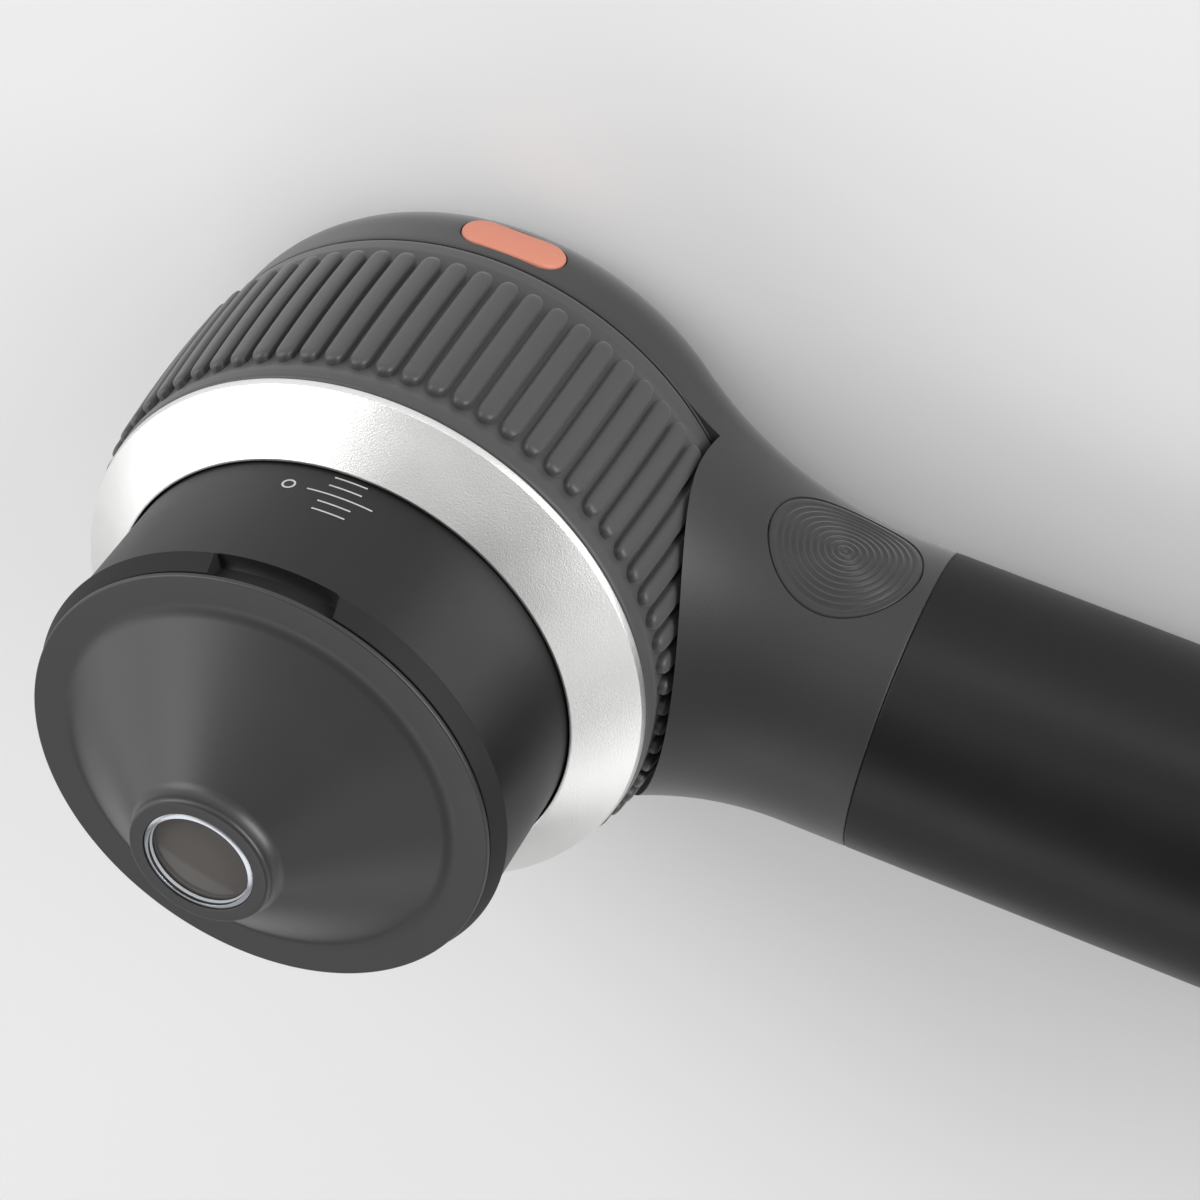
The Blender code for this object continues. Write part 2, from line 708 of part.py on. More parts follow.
def focus_barrel(look, parent):
    """Sliding front barrel with a shallow tapered flange at its mouth."""
    flange = barrel_radius + FLANGE_STEP
    flange_rear = barrel_front - FLANGE_LENGTH
    outline = [
        (barrel_bore, barrel_front),
        (flange - FLANGE_TAPER, barrel_front),
        (flange, flange_rear),
        (barrel_radius, flange_rear - FLANGE_STEP),
        (barrel_radius, barrel_rear),
        (barrel_bore, barrel_rear),
    ]
    barrel = place("focus_barrel", turned(outline, FINE_STEPS), look, parent)
    holes = joined(*around(pin_hole, CAM_PIN_COUNT, CAM_PIN_FIRST))
    combine(barrel, "DIFFERENCE", cutter("pin_holes", holes, parent))
    combine(barrel, "DIFFERENCE", cutter("fingernail_notch", notch_form(), parent))


def cone_outline(base_radius, base_height, tip_radius, tip_height, count):
    """A cone's side that starts in a hollow round and then runs straight to its tip."""
    slope = math.atan2(tip_height - base_height, base_radius - tip_radius)
    run = CAP_BASE_ROUND * math.tan(slope / 2)
    slope_degrees = math.degrees(slope)
    middle = base_height + CAP_BASE_ROUND
    return arc(base_radius + run, middle, CAP_BASE_ROUND, -90, -90 - slope_degrees, count)


def cone_cap(look, parent):
    """Pull-off hollow cone with a spigot that plugs into the barrel."""
    groove_middle = cap_rear - CAP_SPIGOT_LENGTH / 2
    groove_half = CAP_SEAL_RADIUS + SEAM_GAP
    groove = cap_spigot_radius - 2 * CAP_SEAL_RADIUS - SEAM_GAP
    spigot_rear = cap_rear - CAP_SPIGOT_LENGTH
    rim = arc(cap_rim_radius - CAP_RIM_ROUND, cap_face - CAP_RIM_ROUND, CAP_RIM_ROUND, 0, 90, 2)
    side = cone_outline(cap_face_radius, cap_face, CAP_TIP_RADIUS, cap_tip - CAP_TIP_ROUND, 4)
    tip = arc(CAP_TIP_RADIUS - CAP_TIP_ROUND * 0.7, cap_tip - CAP_TIP_ROUND, CAP_TIP_ROUND, 40, 90, 2)
    inner_tip = window_radius - WINDOW_SEAT
    outline = (
        [(bezel_seat_radius, cap_tip)]
        + tip[::-1]
        + side[::-1]
        + rim[::-1]
        + [
            (cap_rim_radius, cap_rear),
            (cap_spigot_radius, cap_rear),
            (cap_spigot_radius, groove_middle + groove_half),
            (groove, groove_middle + groove_half),
            (groove, groove_middle - groove_half),
            (cap_spigot_radius, groove_middle - groove_half),
            (cap_spigot_radius, spigot_rear),
            (cap_bore, spigot_rear),
            (cap_bore, cap_face - CAP_WALL / 2),
            (inner_tip, window_rear - WINDOW_SEAT - CAP_WALL / 2),
            (inner_tip, window_rear - SEAM_GAP),
            (bezel_seat_radius, window_rear - SEAM_GAP),
        ]
    )
    place("cone_cap", turned(outline, FINE_STEPS), look, parent)


def ring_section(radius, middle, half, count=6):
    """Outline of a round-section ring."""
    return arc(radius, middle, half, 0, 360 * (count - 1) / count, count - 1)


def cap_seal(look, parent):
    middle = cap_rear - CAP_SPIGOT_LENGTH / 2
    radius = cap_spigot_radius - CAP_SEAL_RADIUS
    place("cap_seal", turned(ring_section(radius, middle, CAP_SEAL_RADIUS), INNER_STEPS), look, parent)


def tip_window(glass, bright, parent):
    """Contact window and the thin bright ring round it."""
    place("tip_window", rod(window_radius, window_rear, window_front), glass, parent)
    bore = window_radius + TRIM_GAP
    ring = tube(bore, bore + WINDOW_BEZEL, window_rear, cap_tip)
    place("window_bezel", ring, bright, parent)


def lens(name, rear, look, parent):
    """A lens that bulges on both faces."""
    front = rear + LENS_EDGE
    bulge = [lens_radius * i / 3 for i in range(4)]
    sag = [LENS_BULGE * (1 - (radius / lens_radius) ** 2) for radius in bulge]
    upper = [(radius, front + rise) for radius, rise in zip(bulge, sag)]
    lower = [(radius, rear - rise) for radius, rise in zip(bulge, sag)]
    place(name, turned(upper + lower[::-1], INNER_STEPS), look, parent)


def magnifier(looks, parent):
    """Lens tube with its two lenses, spacer and retaining ring, and the ring round the eyepiece."""
    flange_front = lens_tube_rear + LENS_SEAT
    outline = [
        (lens_tube_bore, retainer_front),
        (lens_tube_radius, retainer_front),
        (lens_tube_radius, flange_front),
        (lens_flange_radius, flange_front),
        (lens_flange_radius, lens_tube_rear),
        (lens_tube_bore, lens_tube_rear),
    ]
    place("lens_tube", turned(outline, INNER_STEPS), looks["black_metal"], parent)
    lens("eyepiece_lens", eyepiece_rear, looks["glass"], parent)
    lens("objective_lens", objective_rear, looks["glass"], parent)
    inner = lens_radius - RETAINER_WIDTH
    spacer = tube(inner, lens_radius, spacer_rear, spacer_front, INNER_STEPS)
    place("lens_spacer", spacer, looks["black_metal"], parent)
    retainer = tube(inner, lens_radius, retainer_rear, retainer_front, INNER_STEPS)
    place("lens_retaining_ring", retainer, looks["black_metal"], parent)
    bezel = [
        (bezel_bore, eyepiece_rear - FIT_GAP),
        (lens_radius, eyepiece_rear - FIT_GAP),
        (lens_radius, HEAD_FLOOR),
        (bezel_radius, HEAD_FLOOR),
        (bezel_radius, BEZEL_SINK),
        (bezel_bore, BEZEL_SINK),
    ]
    place("eyepiece_bezel", turned(bezel, FINE_STEPS), looks["black_metal"], parent)


def led():
    half = LED_SIZE / 2
    return block((led_circle - half, -half, led_rear), (led_circle + half, half, led_rear + LED_HEIGHT))


def ring_light(looks, parent):
    """Annular lamp board with its lamps, and the two polarisers in front of it."""
    board = tube(LED_APERTURE, board_radius, board_rear, board_front, INNER_STEPS)
    place("led_board", board, looks["board"], parent)
    for number, lamp in enumerate(around(led, LED_COUNT, math.pi / LED_COUNT), 1):
        place(f"led_{number}", lamp, looks["lamp"], parent)
    front = polariser_rear + POLARISER_THICKNESS
    ring = tube(LED_APERTURE + FIT_GAP, board_radius, polariser_rear, front, INNER_STEPS)
    place("polariser_ring", ring, looks["film"], parent)
    place("analyser_disc", rod(LED_APERTURE, polariser_rear, front, INNER_STEPS), looks["film"], parent)


def main_flex(look, parent):
    """Flexible circuit: down the lens tube, then along the back into the neck."""
    inner = lens_tube_radius + FIT_GAP
    top = board_rear - FIT_GAP
    end = control_board_start + FLEX_WIDTH / 2
    outline = [
        (inner, -top),
        (inner + FLEX_THICKNESS, -top),
        (inner + FLEX_THICKNESS, -FLEX_HEIGHT - FLEX_THICKNESS),
        (end, -FLEX_HEIGHT - FLEX_THICKNESS),
        (end, -FLEX_HEIGHT),
        (inner, -FLEX_HEIGHT),
    ]
    strip = prism(outline, -FLEX_WIDTH / 2, FLEX_WIDTH / 2)
    place("main_flex", moved(strip, Matrix.Rotation(-math.pi / 2, 4, "X")), look, parent)


def power_button_hole(side):
    hole = rod(POWER_BUTTON_RADIUS + POWER_BUTTON_GAP, switch_top(), 2 * HANDLE_RADIUS, PLAIN_STEPS)
    return to_side(hole, side, power_button_x, axis_z)


def bar_top():
    """Outer face of the power button's retaining bar, just under the neck's inner wall."""
    reach = POWER_BUTTON_RADIUS + POWER_BUTTON_GAP + POWER_BAR_REACH
    return math.sqrt(neck_bore**2 - reach**2) - FIT_GAP


def switch_top():
    return bar_top() - POWER_BAR_THICKNESS - POWER_TRAVEL - SWITCH_SLACK


def power_button(name, side, look, parent):
    """Round button that follows the neck's surface, dished, with a bar that keeps it in."""
    reach = POWER_BUTTON_RADIUS + POWER_BUTTON_GAP + POWER_BAR_REACH
    seat = (power_button_x, 0, axis_z)
    plug = rod(POWER_BUTTON_RADIUS, bar_top() - POWER_BAR_THICKNESS / 2, 2 * HANDLE_RADIUS, PLAIN_STEPS)
    button = place(name, to_side(plug, side, power_button_x, axis_z), look, parent, seat)
    skin = cutter(f"{name}_skin", neck_solid(-POWER_BUTTON_SINK), parent)
    combine(button, "INTERSECT", skin)
    face = neck_radius(power_button_x)
    rise = (POWER_BUTTON_RADIUS**2 + POWER_BUTTON_DISH**2) / (2 * POWER_BUTTON_DISH)
    hollow = arc(0, face - POWER_BUTTON_DISH + rise, rise, -90, -80, 4) + [(0, face + rise)]
    bowl = turned(hollow, PLAIN_STEPS)
    dish = cutter(f"{name}_dish", to_side(bowl, side, power_button_x, axis_z), parent)
    combine(button, "DIFFERENCE", dish)
    bar = block(
        (-POWER_BAR_HALF_WIDTH, -reach, bar_top() - POWER_BAR_THICKNESS),
        (POWER_BAR_HALF_WIDTH, reach, bar_top()),
    )
    combine(button, "UNION", cutter(f"{name}_bar", to_side(bar, side, power_button_x, axis_z), parent))


def boost_middle():
    """Height of the pill button's middle line."""
    return HEAD_REAR_HEIGHT - BOOST_RIM - BOOST_WIDTH / 2


def boost_flange_top():
    reach = BOOST_LENGTH / 2 + BOOST_FLANGE
    return math.sqrt(bowl_bore**2 - reach**2) - FIT_GAP


def boost_button_hole(side):
    outline = stadium(BOOST_LENGTH + 2 * BOOST_GAP, BOOST_WIDTH + 2 * BOOST_GAP)
    hole = prism(outline, boost_flange_top(), 2 * HEAD_RADIUS)
    return to_side(hole, side, 0, boost_middle())


def boost_button(name, side, look, parent):
    """Pill button that follows the side of the head and stands a little proud."""
    low = boost_flange_top() - BOOST_FLANGE_THICKNESS
    seat = (0, 0, boost_middle())
    pill = prism(stadium(BOOST_LENGTH, BOOST_WIDTH), low + BOOST_FLANGE_THICKNESS / 2, 2 * HEAD_RADIUS)
    button = place(name, to_side(pill, side, 0, boost_middle()), look, parent, seat)
    outline = [(0, -BOOST_PROUD)] + head_outline(BOOST_PROUD) + [(0, HEAD_REAR_HEIGHT)]
    skin = cutter(f"{name}_skin", turned(outline, FINE_STEPS), parent)
    combine(button, "INTERSECT", skin)
    half_length = BOOST_LENGTH / 2 + BOOST_FLANGE
    half_width = BOOST_WIDTH / 2 - FIT_GAP
    plate = block((-half_length, -half_width, low), (half_length, half_width, low + BOOST_FLANGE_THICKNESS))
    combine(button, "UNION", cutter(f"{name}_plate", to_side(plate, side, 0, boost_middle()), parent))


def switches(look, parent):
    """Push switches: two on the control board, two under the guide sleeve's flange."""
    base = CONTROL_BOARD_THICKNESS / 2 + FIT_GAP
    half = SWITCH_SIZE / 2
    boost_top = boost_flange_top() - BOOST_FLANGE_THICKNESS - BOOST_TRAVEL - SWITCH_SLACK
    boost_high = guide_base - FIT_GAP
    boost_half = BOOST_SWITCH_SIZE / 2
    for word, side in (("left", 1), ("right", -1)):
        body = block((-half, -half, base), (half, half, switch_top()))
        place(f"power_switch_{word}", to_side(body, side, power_button_x, axis_z), look, parent)
        depths = sorted((side * (boost_top - BOOST_SWITCH_DEPTH), side * boost_top))
        low = (-boost_half, depths[0], boost_high - BOOST_SWITCH_SIZE)
        place(f"boost_switch_{word}", block(low, (boost_half, depths[1], boost_high)), look, parent)


def control_board(look, parent):
    half = CONTROL_BOARD_THICKNESS / 2
    low = (control_board_start, -half, axis_z - control_board_half_height)
    high = (control_board_end, half, axis_z + control_board_half_height)
    place("control_board", block(low, high), look, parent)


def spring_curve(name, look, parent):
    """Battery spring: one unbroken wire wound about the handle's axis."""
    count = 8
    points = []
    for i in range(int(SPRING_TURNS * count) + 1):
        turn = 2 * math.pi * i / count
        along = spring_start + SPRING_LENGTH * turn / (2 * math.pi * SPRING_TURNS)
        points.append((along, SPRING_RADIUS * math.cos(turn), axis_z + SPRING_RADIUS * math.sin(turn)))
    pitch = SPRING_LENGTH / SPRING_TURNS
    print(f"battery spring: least gap between turns {1000 * (pitch - 2 * SPRING_WIRE):.2f} mm")
    data = bpy.data.curves.new(name, "CURVE")
    data.dimensions = "3D"
    data.bevel_depth = SPRING_WIRE
    data.bevel_resolution = 1
    data.use_fill_caps = True
    spline = data.splines.new("POLY")
    spline.points.add(len(points) - 1)
    for point, position in zip(spline.points, points):
        point.co = (*position, 1)
    data.materials.append(look)
    obj = bpy.data.objects.new(name, data)
    obj.parent = parent
    bpy.context.scene.collection.objects.link(obj)


def handle(looks, parent):
    """Handle tube with the battery, its contacts, the end cap and the charging socket."""
    sleeve = tube(sleeve_bore, HANDLE_RADIUS, sleeve_start, sleeve_end, FINE_STEPS)
    place("handle_sleeve", along_handle(sleeve), looks["black"], parent)
    place("battery_cell", along_handle(rod(cell_radius, cell_start, cell_end)), looks["cell"], parent)
    contact = [
        (0, contact_end + CONTACT_NUB_LENGTH),
        (CONTACT_NUB_RADIUS, contact_end + CONTACT_NUB_LENGTH),
        (CONTACT_NUB_RADIUS, contact_end),
        (cell_radius, contact_end),
        (cell_radius, contact_start),
        (0, contact_start),
    ]
    place("battery_contact_front", along_handle(turned(contact, INNER_STEPS)), looks["contact"], parent)
    spring_curve("battery_spring", looks["contact"], parent)
    end_bore = sleeve_bore - FIT_GAP - SPIGOT_WALL
    board = rod(end_bore - FIT_GAP, charge_board_start, charge_board_end, INNER_STEPS)
    place("charge_board", along_handle(board), looks["board"], parent)
    end_cap(end_bore, looks["black"], parent)
    charge_port(looks["contact"], parent)


def end_cap(bore, look, parent):
    """Plug of the handle's end, with a rounded rim and the slot for the charging socket."""
    plug_radius = sleeve_bore - FIT_GAP
    rim = arc(HANDLE_RADIUS - END_CAP_ROUND, handle_end - END_CAP_ROUND, END_CAP_ROUND, 0, 90, 4)
    outline = (
        [(0, handle_end)]
        + rim[::-1]
        + [
            (HANDLE_RADIUS, end_cap_start),
            (plug_radius, end_cap_start),
            (plug_radius, end_cap_start - END_SPIGOT_LENGTH),
            (bore, end_cap_start - END_SPIGOT_LENGTH),
            (bore, handle_end - END_CAP_FLOOR),
            (0, handle_end - END_CAP_FLOOR),
        ]
    )
    cap = place("handle_end_cap", along_handle(turned(outline, FINE_STEPS)), look, parent)
    slot = stadium(PORT_WIDTH + 2 * FIT_GAP, PORT_HEIGHT + 2 * FIT_GAP)
    form = along_handle(upright(prism(slot, handle_end - 2 * END_CAP_FLOOR, handle_end + END_CAP_FLOOR)))
    combine(cap, "DIFFERENCE", cutter("port_slot", form, parent))


def upright(mesh):
    """Turns an outline's long side across the handle."""
    return moved(mesh, Matrix.Rotation(math.pi / 2, 4, "Z"))


def charge_port(look, parent):
    """Charging socket: a round-ended shell open to the outside."""
    outer = upright(prism(stadium(PORT_WIDTH, PORT_HEIGHT), port_start, port_end))
    shell = place("charge_port", along_handle(outer), look, parent)
    hollow = stadium(PORT_WIDTH - 2 * PORT_WALL, PORT_HEIGHT - 2 * PORT_WALL)
    form = upright(prism(hollow, port_end - PORT_DEPTH, port_end + PORT_WALL))
    combine(shell, "DIFFERENCE", cutter("port_hollow", along_handle(form), parent))


def finishes():
    return {
        "black": finish("soft_black", (0.035, 0.036, 0.038), 0.6),
        "grip": finish("grip_black", (0.04, 0.041, 0.043), 0.65),
        "satin_black": finish("satin_black", (0.025, 0.025, 0.027), 0.35),
        "cone": finish("cone_grey", (0.05, 0.052, 0.057), 0.5),
        "bright": finish("satin_aluminium", (0.83, 0.83, 0.82), 0.3, 1.0),
        "orange": finish("orange", (0.82, 0.29, 0.19), 0.5),
        "glass": finish("glass", (0.55, 0.52, 0.5), 0.05),
        "black_metal": finish("black_metal", (0.03, 0.03, 0.03), 0.4, 1.0),
        "brass": finish("brass", (0.7, 0.55, 0.25), 0.35, 1.0),
        "board": finish("board_green", (0.05, 0.2, 0.1), 0.5),
        "lamp": finish("lamp_white", (0.9, 0.9, 0.85), 0.4),
        "film": finish("film_grey", (0.25, 0.26, 0.27), 0.2),
        "flex": finish("flex_amber", (0.55, 0.3, 0.08), 0.4),
        "rubber": finish("rubber", (0.03, 0.03, 0.03), 0.8),
        "cell": finish("cell_wrap", (0.1, 0.25, 0.5), 0.4),
        "contact": finish("nickel", (0.7, 0.68, 0.64), 0.3, 1.0),
        "steel": finish("steel", (0.6, 0.6, 0.6), 0.35, 1.0),
        "switch": finish("switch_black", (0.06, 0.06, 0.06), 0.5),
    }


def main():
    clear_scene()
    looks = finishes()
    axis = bpy.data.objects.new("optical_axis", None)
    axis.location = (optical_x, 0, 0)
    bpy.context.scene.collection.objects.link(axis)
    rear_housing(looks["black"], axis)
    handle(looks, axis)
    magnifier(looks, axis)
    ring_light(looks, axis)
    main_flex(looks["flex"], axis)
    control_board(looks["board"], axis)
    switches(looks["switch"], axis)
    guide_sleeve(looks["black_metal"], axis)
    barrel_seal(looks["rubber"], axis)
    for number, piece in enumerate(around(screw, SCREW_COUNT, math.pi / 4), 1):
        place(f"sleeve_screw_{number}", piece, looks["steel"], axis)
    focus_dial(looks["grip"], axis)
    cam_ring(looks["brass"], axis)
    trim_ring(looks["bright"], axis)
    focus_barrel(looks["satin_black"], axis)
    for number, piece in enumerate(around(cam_pin, CAM_PIN_COUNT, CAM_PIN_FIRST), 1):
        place(f"cam_pin_{number}", piece, looks["steel"], axis)
    cone_cap(looks["cone"], axis)
    cap_seal(looks["rubber"], axis)
    tip_window(looks["glass"], looks["bright"], axis)
    for word, side in (("left", 1), ("right", -1)):
        power_button(f"power_button_{word}", side, looks["black"], axis)
        boost_button(f"boost_button_{word}", side, looks["orange"], axis)


main()
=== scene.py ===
"""Detailed pieces, finishes and a studio stage for a hand-held skin scope.

Lengths are in metres. Shapes are worked out about the optical axis, which is +Z, with the handle
along +X, and are moved to the frame's own place when a piece is made.
"""

import json
import math

import bmesh
import bpy
from bpy.props import FloatProperty, FloatVectorProperty, IntProperty, PointerProperty
from bpy.types import Operator, Panel, PropertyGroup
from mathutils import Matrix, Vector

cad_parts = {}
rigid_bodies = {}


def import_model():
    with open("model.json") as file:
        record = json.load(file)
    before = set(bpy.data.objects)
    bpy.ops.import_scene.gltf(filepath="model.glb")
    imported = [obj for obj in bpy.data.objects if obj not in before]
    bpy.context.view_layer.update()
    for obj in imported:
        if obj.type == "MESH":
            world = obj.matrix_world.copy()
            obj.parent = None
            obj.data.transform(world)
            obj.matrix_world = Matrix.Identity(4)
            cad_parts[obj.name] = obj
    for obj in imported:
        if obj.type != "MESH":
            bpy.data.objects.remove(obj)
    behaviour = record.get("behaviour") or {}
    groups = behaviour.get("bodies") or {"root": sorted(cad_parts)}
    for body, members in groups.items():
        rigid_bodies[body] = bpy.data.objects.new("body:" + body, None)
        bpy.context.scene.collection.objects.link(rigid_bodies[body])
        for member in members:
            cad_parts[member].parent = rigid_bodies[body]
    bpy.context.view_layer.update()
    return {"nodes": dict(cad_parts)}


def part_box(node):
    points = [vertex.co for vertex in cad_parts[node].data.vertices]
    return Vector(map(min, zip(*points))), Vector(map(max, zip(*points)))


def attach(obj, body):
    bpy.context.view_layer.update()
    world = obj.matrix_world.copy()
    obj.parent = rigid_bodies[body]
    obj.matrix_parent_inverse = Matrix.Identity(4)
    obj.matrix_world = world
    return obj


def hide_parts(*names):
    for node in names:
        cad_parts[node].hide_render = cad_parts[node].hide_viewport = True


bl_info = {
    "name": "Skin Scope",
    "version": (1, 0, 0),
    "blender": (4, 5, 0),
    "location": "View3D > Sidebar > Skin Scope",
    "description": "Builds the detailed pieces, finishes and stage of a hand-held skin scope",
    "category": "Object",
}

for leftover in list(bpy.data.objects):
    bpy.data.objects.remove(leftover, do_unlink=True)

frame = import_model()

# Places and sizes of the frame's nodes
dial_low, dial_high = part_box("focus_dial")
shell_low, shell_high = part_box("rear_housing")
trim_low, trim_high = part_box("trim_ring")
barrel_low, barrel_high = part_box("focus_barrel")
cone_low, cone_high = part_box("cone_cap")
window_low, window_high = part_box("tip_window")
ring_low, ring_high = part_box("window_bezel")
sleeve_low, sleeve_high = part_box("handle_sleeve")
end_low, end_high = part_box("handle_end_cap")
port_low, port_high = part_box("charge_port")
eyepiece_low, eyepiece_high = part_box("eyepiece_bezel")
lens_low, lens_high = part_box("eyepiece_lens")
power_low, power_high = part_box("power_button_left")
boost_low, boost_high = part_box("boost_button_left")

optical_x = (dial_low.x + dial_high.x) / 2
handle_z = (sleeve_low.z + sleeve_high.z) / 2
handle_radius = (sleeve_high.z - sleeve_low.z) / 2
head_radius = optical_x - shell_low.x
rib_crest = (dial_high.y - dial_low.y) / 2
sleeve_start = sleeve_low.x - optical_x
sleeve_end = sleeve_high.x - optical_x
end_cap_tail = end_low.x - optical_x
handle_end = end_high.x - optical_x
port_rear = port_low.x - optical_x
port_front = port_high.x - optical_x
power_x = (power_low.x + power_high.x) / 2 - optical_x
power_radius = (power_high.x - power_low.x) / 2
power_floor = power_low.y
boost_z = (boost_low.z + boost_high.z) / 2
boost_floor = boost_low.y
eyepiece_opening = (eyepiece_high.x - eyepiece_low.x) / 2 + 0.0003


def length(label, note, value, **more):
    return FloatProperty(name=label, description=note, default=value, unit="LENGTH", precision=5, **more)


def turn(label, note, degrees):
    return FloatProperty(name=label, description=note, default=math.radians(degrees), subtype="ANGLE")


def amount(label, note, value):
    return FloatProperty(name=label, description=note, default=value, min=0.0)


def colour(label, note, value):
    shown = {"subtype": "COLOR", "size": 3, "min": 0, "max": 1}
    return FloatVectorProperty(name=label, description=note, default=value, **shown)


class ScopeShell(PropertyGroup):
    """Sizes of the rear housing, the neck and the handle."""

    seam: length("Seam", "Gap between neighbouring outer pieces", 0.00006)
    edge: length("Edge", "Rounding of the edges at the seams", 0.00012)
    crown_arc: length("Crown Arc", "Radius of the barrel-shaped side of the head", 0.118)
    back_fillet: length("Back Fillet", "Rounding between the side of the head and its flat back", 0.0062)
    wall: length("Wall", "Wall of the rear bowl", 0.0017)
    floor: length("Floor", "Thickness of the flat back", 0.002)
    flare_arc: length("Flare Arc", "Radius of the hollow side of the neck", 0.027)
    neck_wall: length("Neck Wall", "Wall between the dial's pocket and the hollow of the neck", 0.0014)
    neck_bore: length("Neck Bore", "Radius of the hollow of the neck", 0.009)
    back_rise: length("Back Rise", "Height of the neck's back over the flat back", 0.00005)
    sink: length("Sink", "Depth of the neck's root under the side of the head", 0.00008)
    inner_slope: length("Inner Slope", "Width of the slope between the bowl's wall and its floor", 0.0018)
    pocket_gap: length("Pocket Gap", "Clearance round the dial's ribs", 0.0004)
    spigot_length: length("Spigot Length", "Length of the spigot that enters the handle", 0.0048)
    handle_wall: length("Handle Wall", "Wall of the handle tube", 0.0019)
    spigot_wall: length("Spigot Wall", "Wall of the spigots", 0.00125)
    end_round: length("End Rounding", "Rounding of the handle's end", 0.0026)
    end_floor: length("End Floor", "Thickness of the end cap's floor", 0.0018)
    port_wall: length("Socket Wall", "Wall of the charging socket", 0.0004)
    port_depth: length("Socket Depth", "Depth of the charging socket", 0.0062)
    pillar_count: IntProperty(name="Pillars", description="Screw pillars in the bowl", default=4, min=1)


class ScopeDial(PropertyGroup):
    """Sizes of the ribbed dial and the trim ring."""

    rib_count: IntProperty(name="Ribs", description="Number of ribs round the dial", default=72, min=3)
    rib_share: FloatProperty(name="Rib Share", description="Part of the pitch that a rib takes", default=0.77)
    rib_rear: length("Rear Margin", "Plain band behind the ribs", 0.0021)
    rib_front: length("Front Margin", "Plain band in front of the ribs", 0.0019)
    rib_end: length("Rib End", "Length of the rounded ends of a rib", 0.0011)
    groove: length("Groove", "Depth of the grooves under the head's side", 0.00022)
    wall: length("Wall", "Wall of the dial", 0.0019)
    trim_band: length("Trim Band", "Width of the bright band at the rear of the trim ring", 0.00055)
    trim_lip: length("Trim Lip", "Flat lip of the trim ring at its mouth", 0.00018)
    trim_gap: length("Trim Gap", "Gap between the trim ring and the barrel", 0.00018)


class ScopeFront(PropertyGroup):
    """Sizes of the barrel, its scale and the cone."""

    barrel_step: length("Flange Step", "Height of the barrel's flange", 0.0003)
    barrel_wall: length("Barrel Wall", "Wall of the barrel", 0.0015)
    flange_length: length("Flange Length", "Length of the barrel's flange", 0.0014)
    flange_taper: length("Flange Taper", "Loss of the flange's radius towards its mouth", 0.00065)
    flange_round: length("Flange Rounding", "Rounding of the flange's edges", 0.00008)
    notch_start: turn("Notch Start", "Angle of the slanted end of the fingernail notch", 78)
    notch_end: turn("Notch End", "Angle of the upright end of the fingernail notch", 108)
    notch_length: length("Notch Length", "Length of the notch along the barrel", 0.0018)
    notch_depth: length("Notch Depth", "Depth of the notch under the barrel's side", 0.0011)
    scale_turn: turn("Scale Angle", "Angle of the middle of the scale round the barrel", 92.1)
    scale_first: length("Scale Start", "Distance from the trim ring to the first line", 0.0004)
    scale_step: length("Scale Step", "Distance between two lines", 0.00091)
    scale_line: length("Line Length", "Length of a short line", 0.00245)
    scale_width: length("Line Width", "Width of a line", 0.00012)
    scale_count: IntProperty(name="Lines", description="Number of lines on the scale", default=5, min=1)
    zero_turn: turn("Zero Angle", "Angle of the zero round the barrel", 104.7)
    zero_drop: length("Zero Place", "Distance from the trim ring to the middle of the zero", 0.00213)
    zero_size: length("Zero Size", "Width of the zero", 0.00102)
    cone_seam: length("Cone Seam", "Gap between the barrel's mouth and the cone", 0.0002)
    rim_round: length("Rim Rounding", "Rounding of the cone's rim", 0.00016)
    rim_length: length("Rim Length", "Height of the cone's rim", 0.0004)
    face_radius: length("Face Radius", "Radius at which the cone rises from its flat face", 0.0146)
    base_round: length("Base Rounding", "Hollow rounding at the foot of the cone", 0.0018)
    tip_radius: length("Tip Radius", "Radius of the cone's tip", 0.0053)
    tip_round: length("Tip Rounding", "Rounding of the cone's tip", 0.00035)
    tip_height: length("Tip Height", "Height of the upright side of the tip", 0.00106)
    tip_hollow: length("Tip Hollow", "Hollow rounding at the foot of the tip", 0.0014)
    cap_wall: length("Cone Wall", "Wall of the cone", 0.0016)
    spigot_radius: length("Spigot Radius", "Radius of the spigot that plugs into the barrel", 0.016)
    seat_gap: length("Seat Gap", "Gap round the window's ring", 0.00004)
    seal_radius: length("Seal Radius", "Half thickness of the cone's seal", 0.0004)
    ring_width: length("Window Ring Width", "Width of the bright ring round the window", 0.00036)
    ring_height: length("Window Ring Height", "Thickness of the bright ring round the window", 0.00007)
    ring_slope: length("Window Ring Slope", "Fall of the bright ring towards its outer edge", 0.0001)
    window_dome: length("Window Dome", "Rise of the window's middle", 0.0001)
    # The bevel over the glass is a pale ring that paints the highlight on the glass's edge.
    bevel_top: length("Bevel Top", "Depth at which the frosted bevel over the glass starts", 0.00027)
    bevel_foot: length("Bevel Foot", "Depth at which the bevel ends", 0.00048)
    bevel_width: length("Bevel Width", "Width of the bevel", 0.00007)


class ScopeButtons(PropertyGroup):
    """Sizes of the buttons."""

    gap: length("Gap", "Gap round a button", 0.00012)
    power_sink: length("Power Sink", "Depth of the round button's edge under the neck's side", 0.00004)
    power_dish: length("Power Dish", "Depth of the round button's hollow", 0.00008)
    groove_count: IntProperty(name="Grooves", description="Rings on the round button", default=10, min=1)
    groove_depth: length("Groove Depth", "Depth of the rings", 0.00013)
    edge: length("Edge", "Rounding of the buttons' edges", 0.00014)
    boost_length: length("Pill Length", "Length of the pill button", 0.008)
    boost_width: length("Pill Width", "Width of the pill button", 0.00345)
    boost_proud: length("Pill Rise", "Height of the pill button over the head's side", 0.00022)


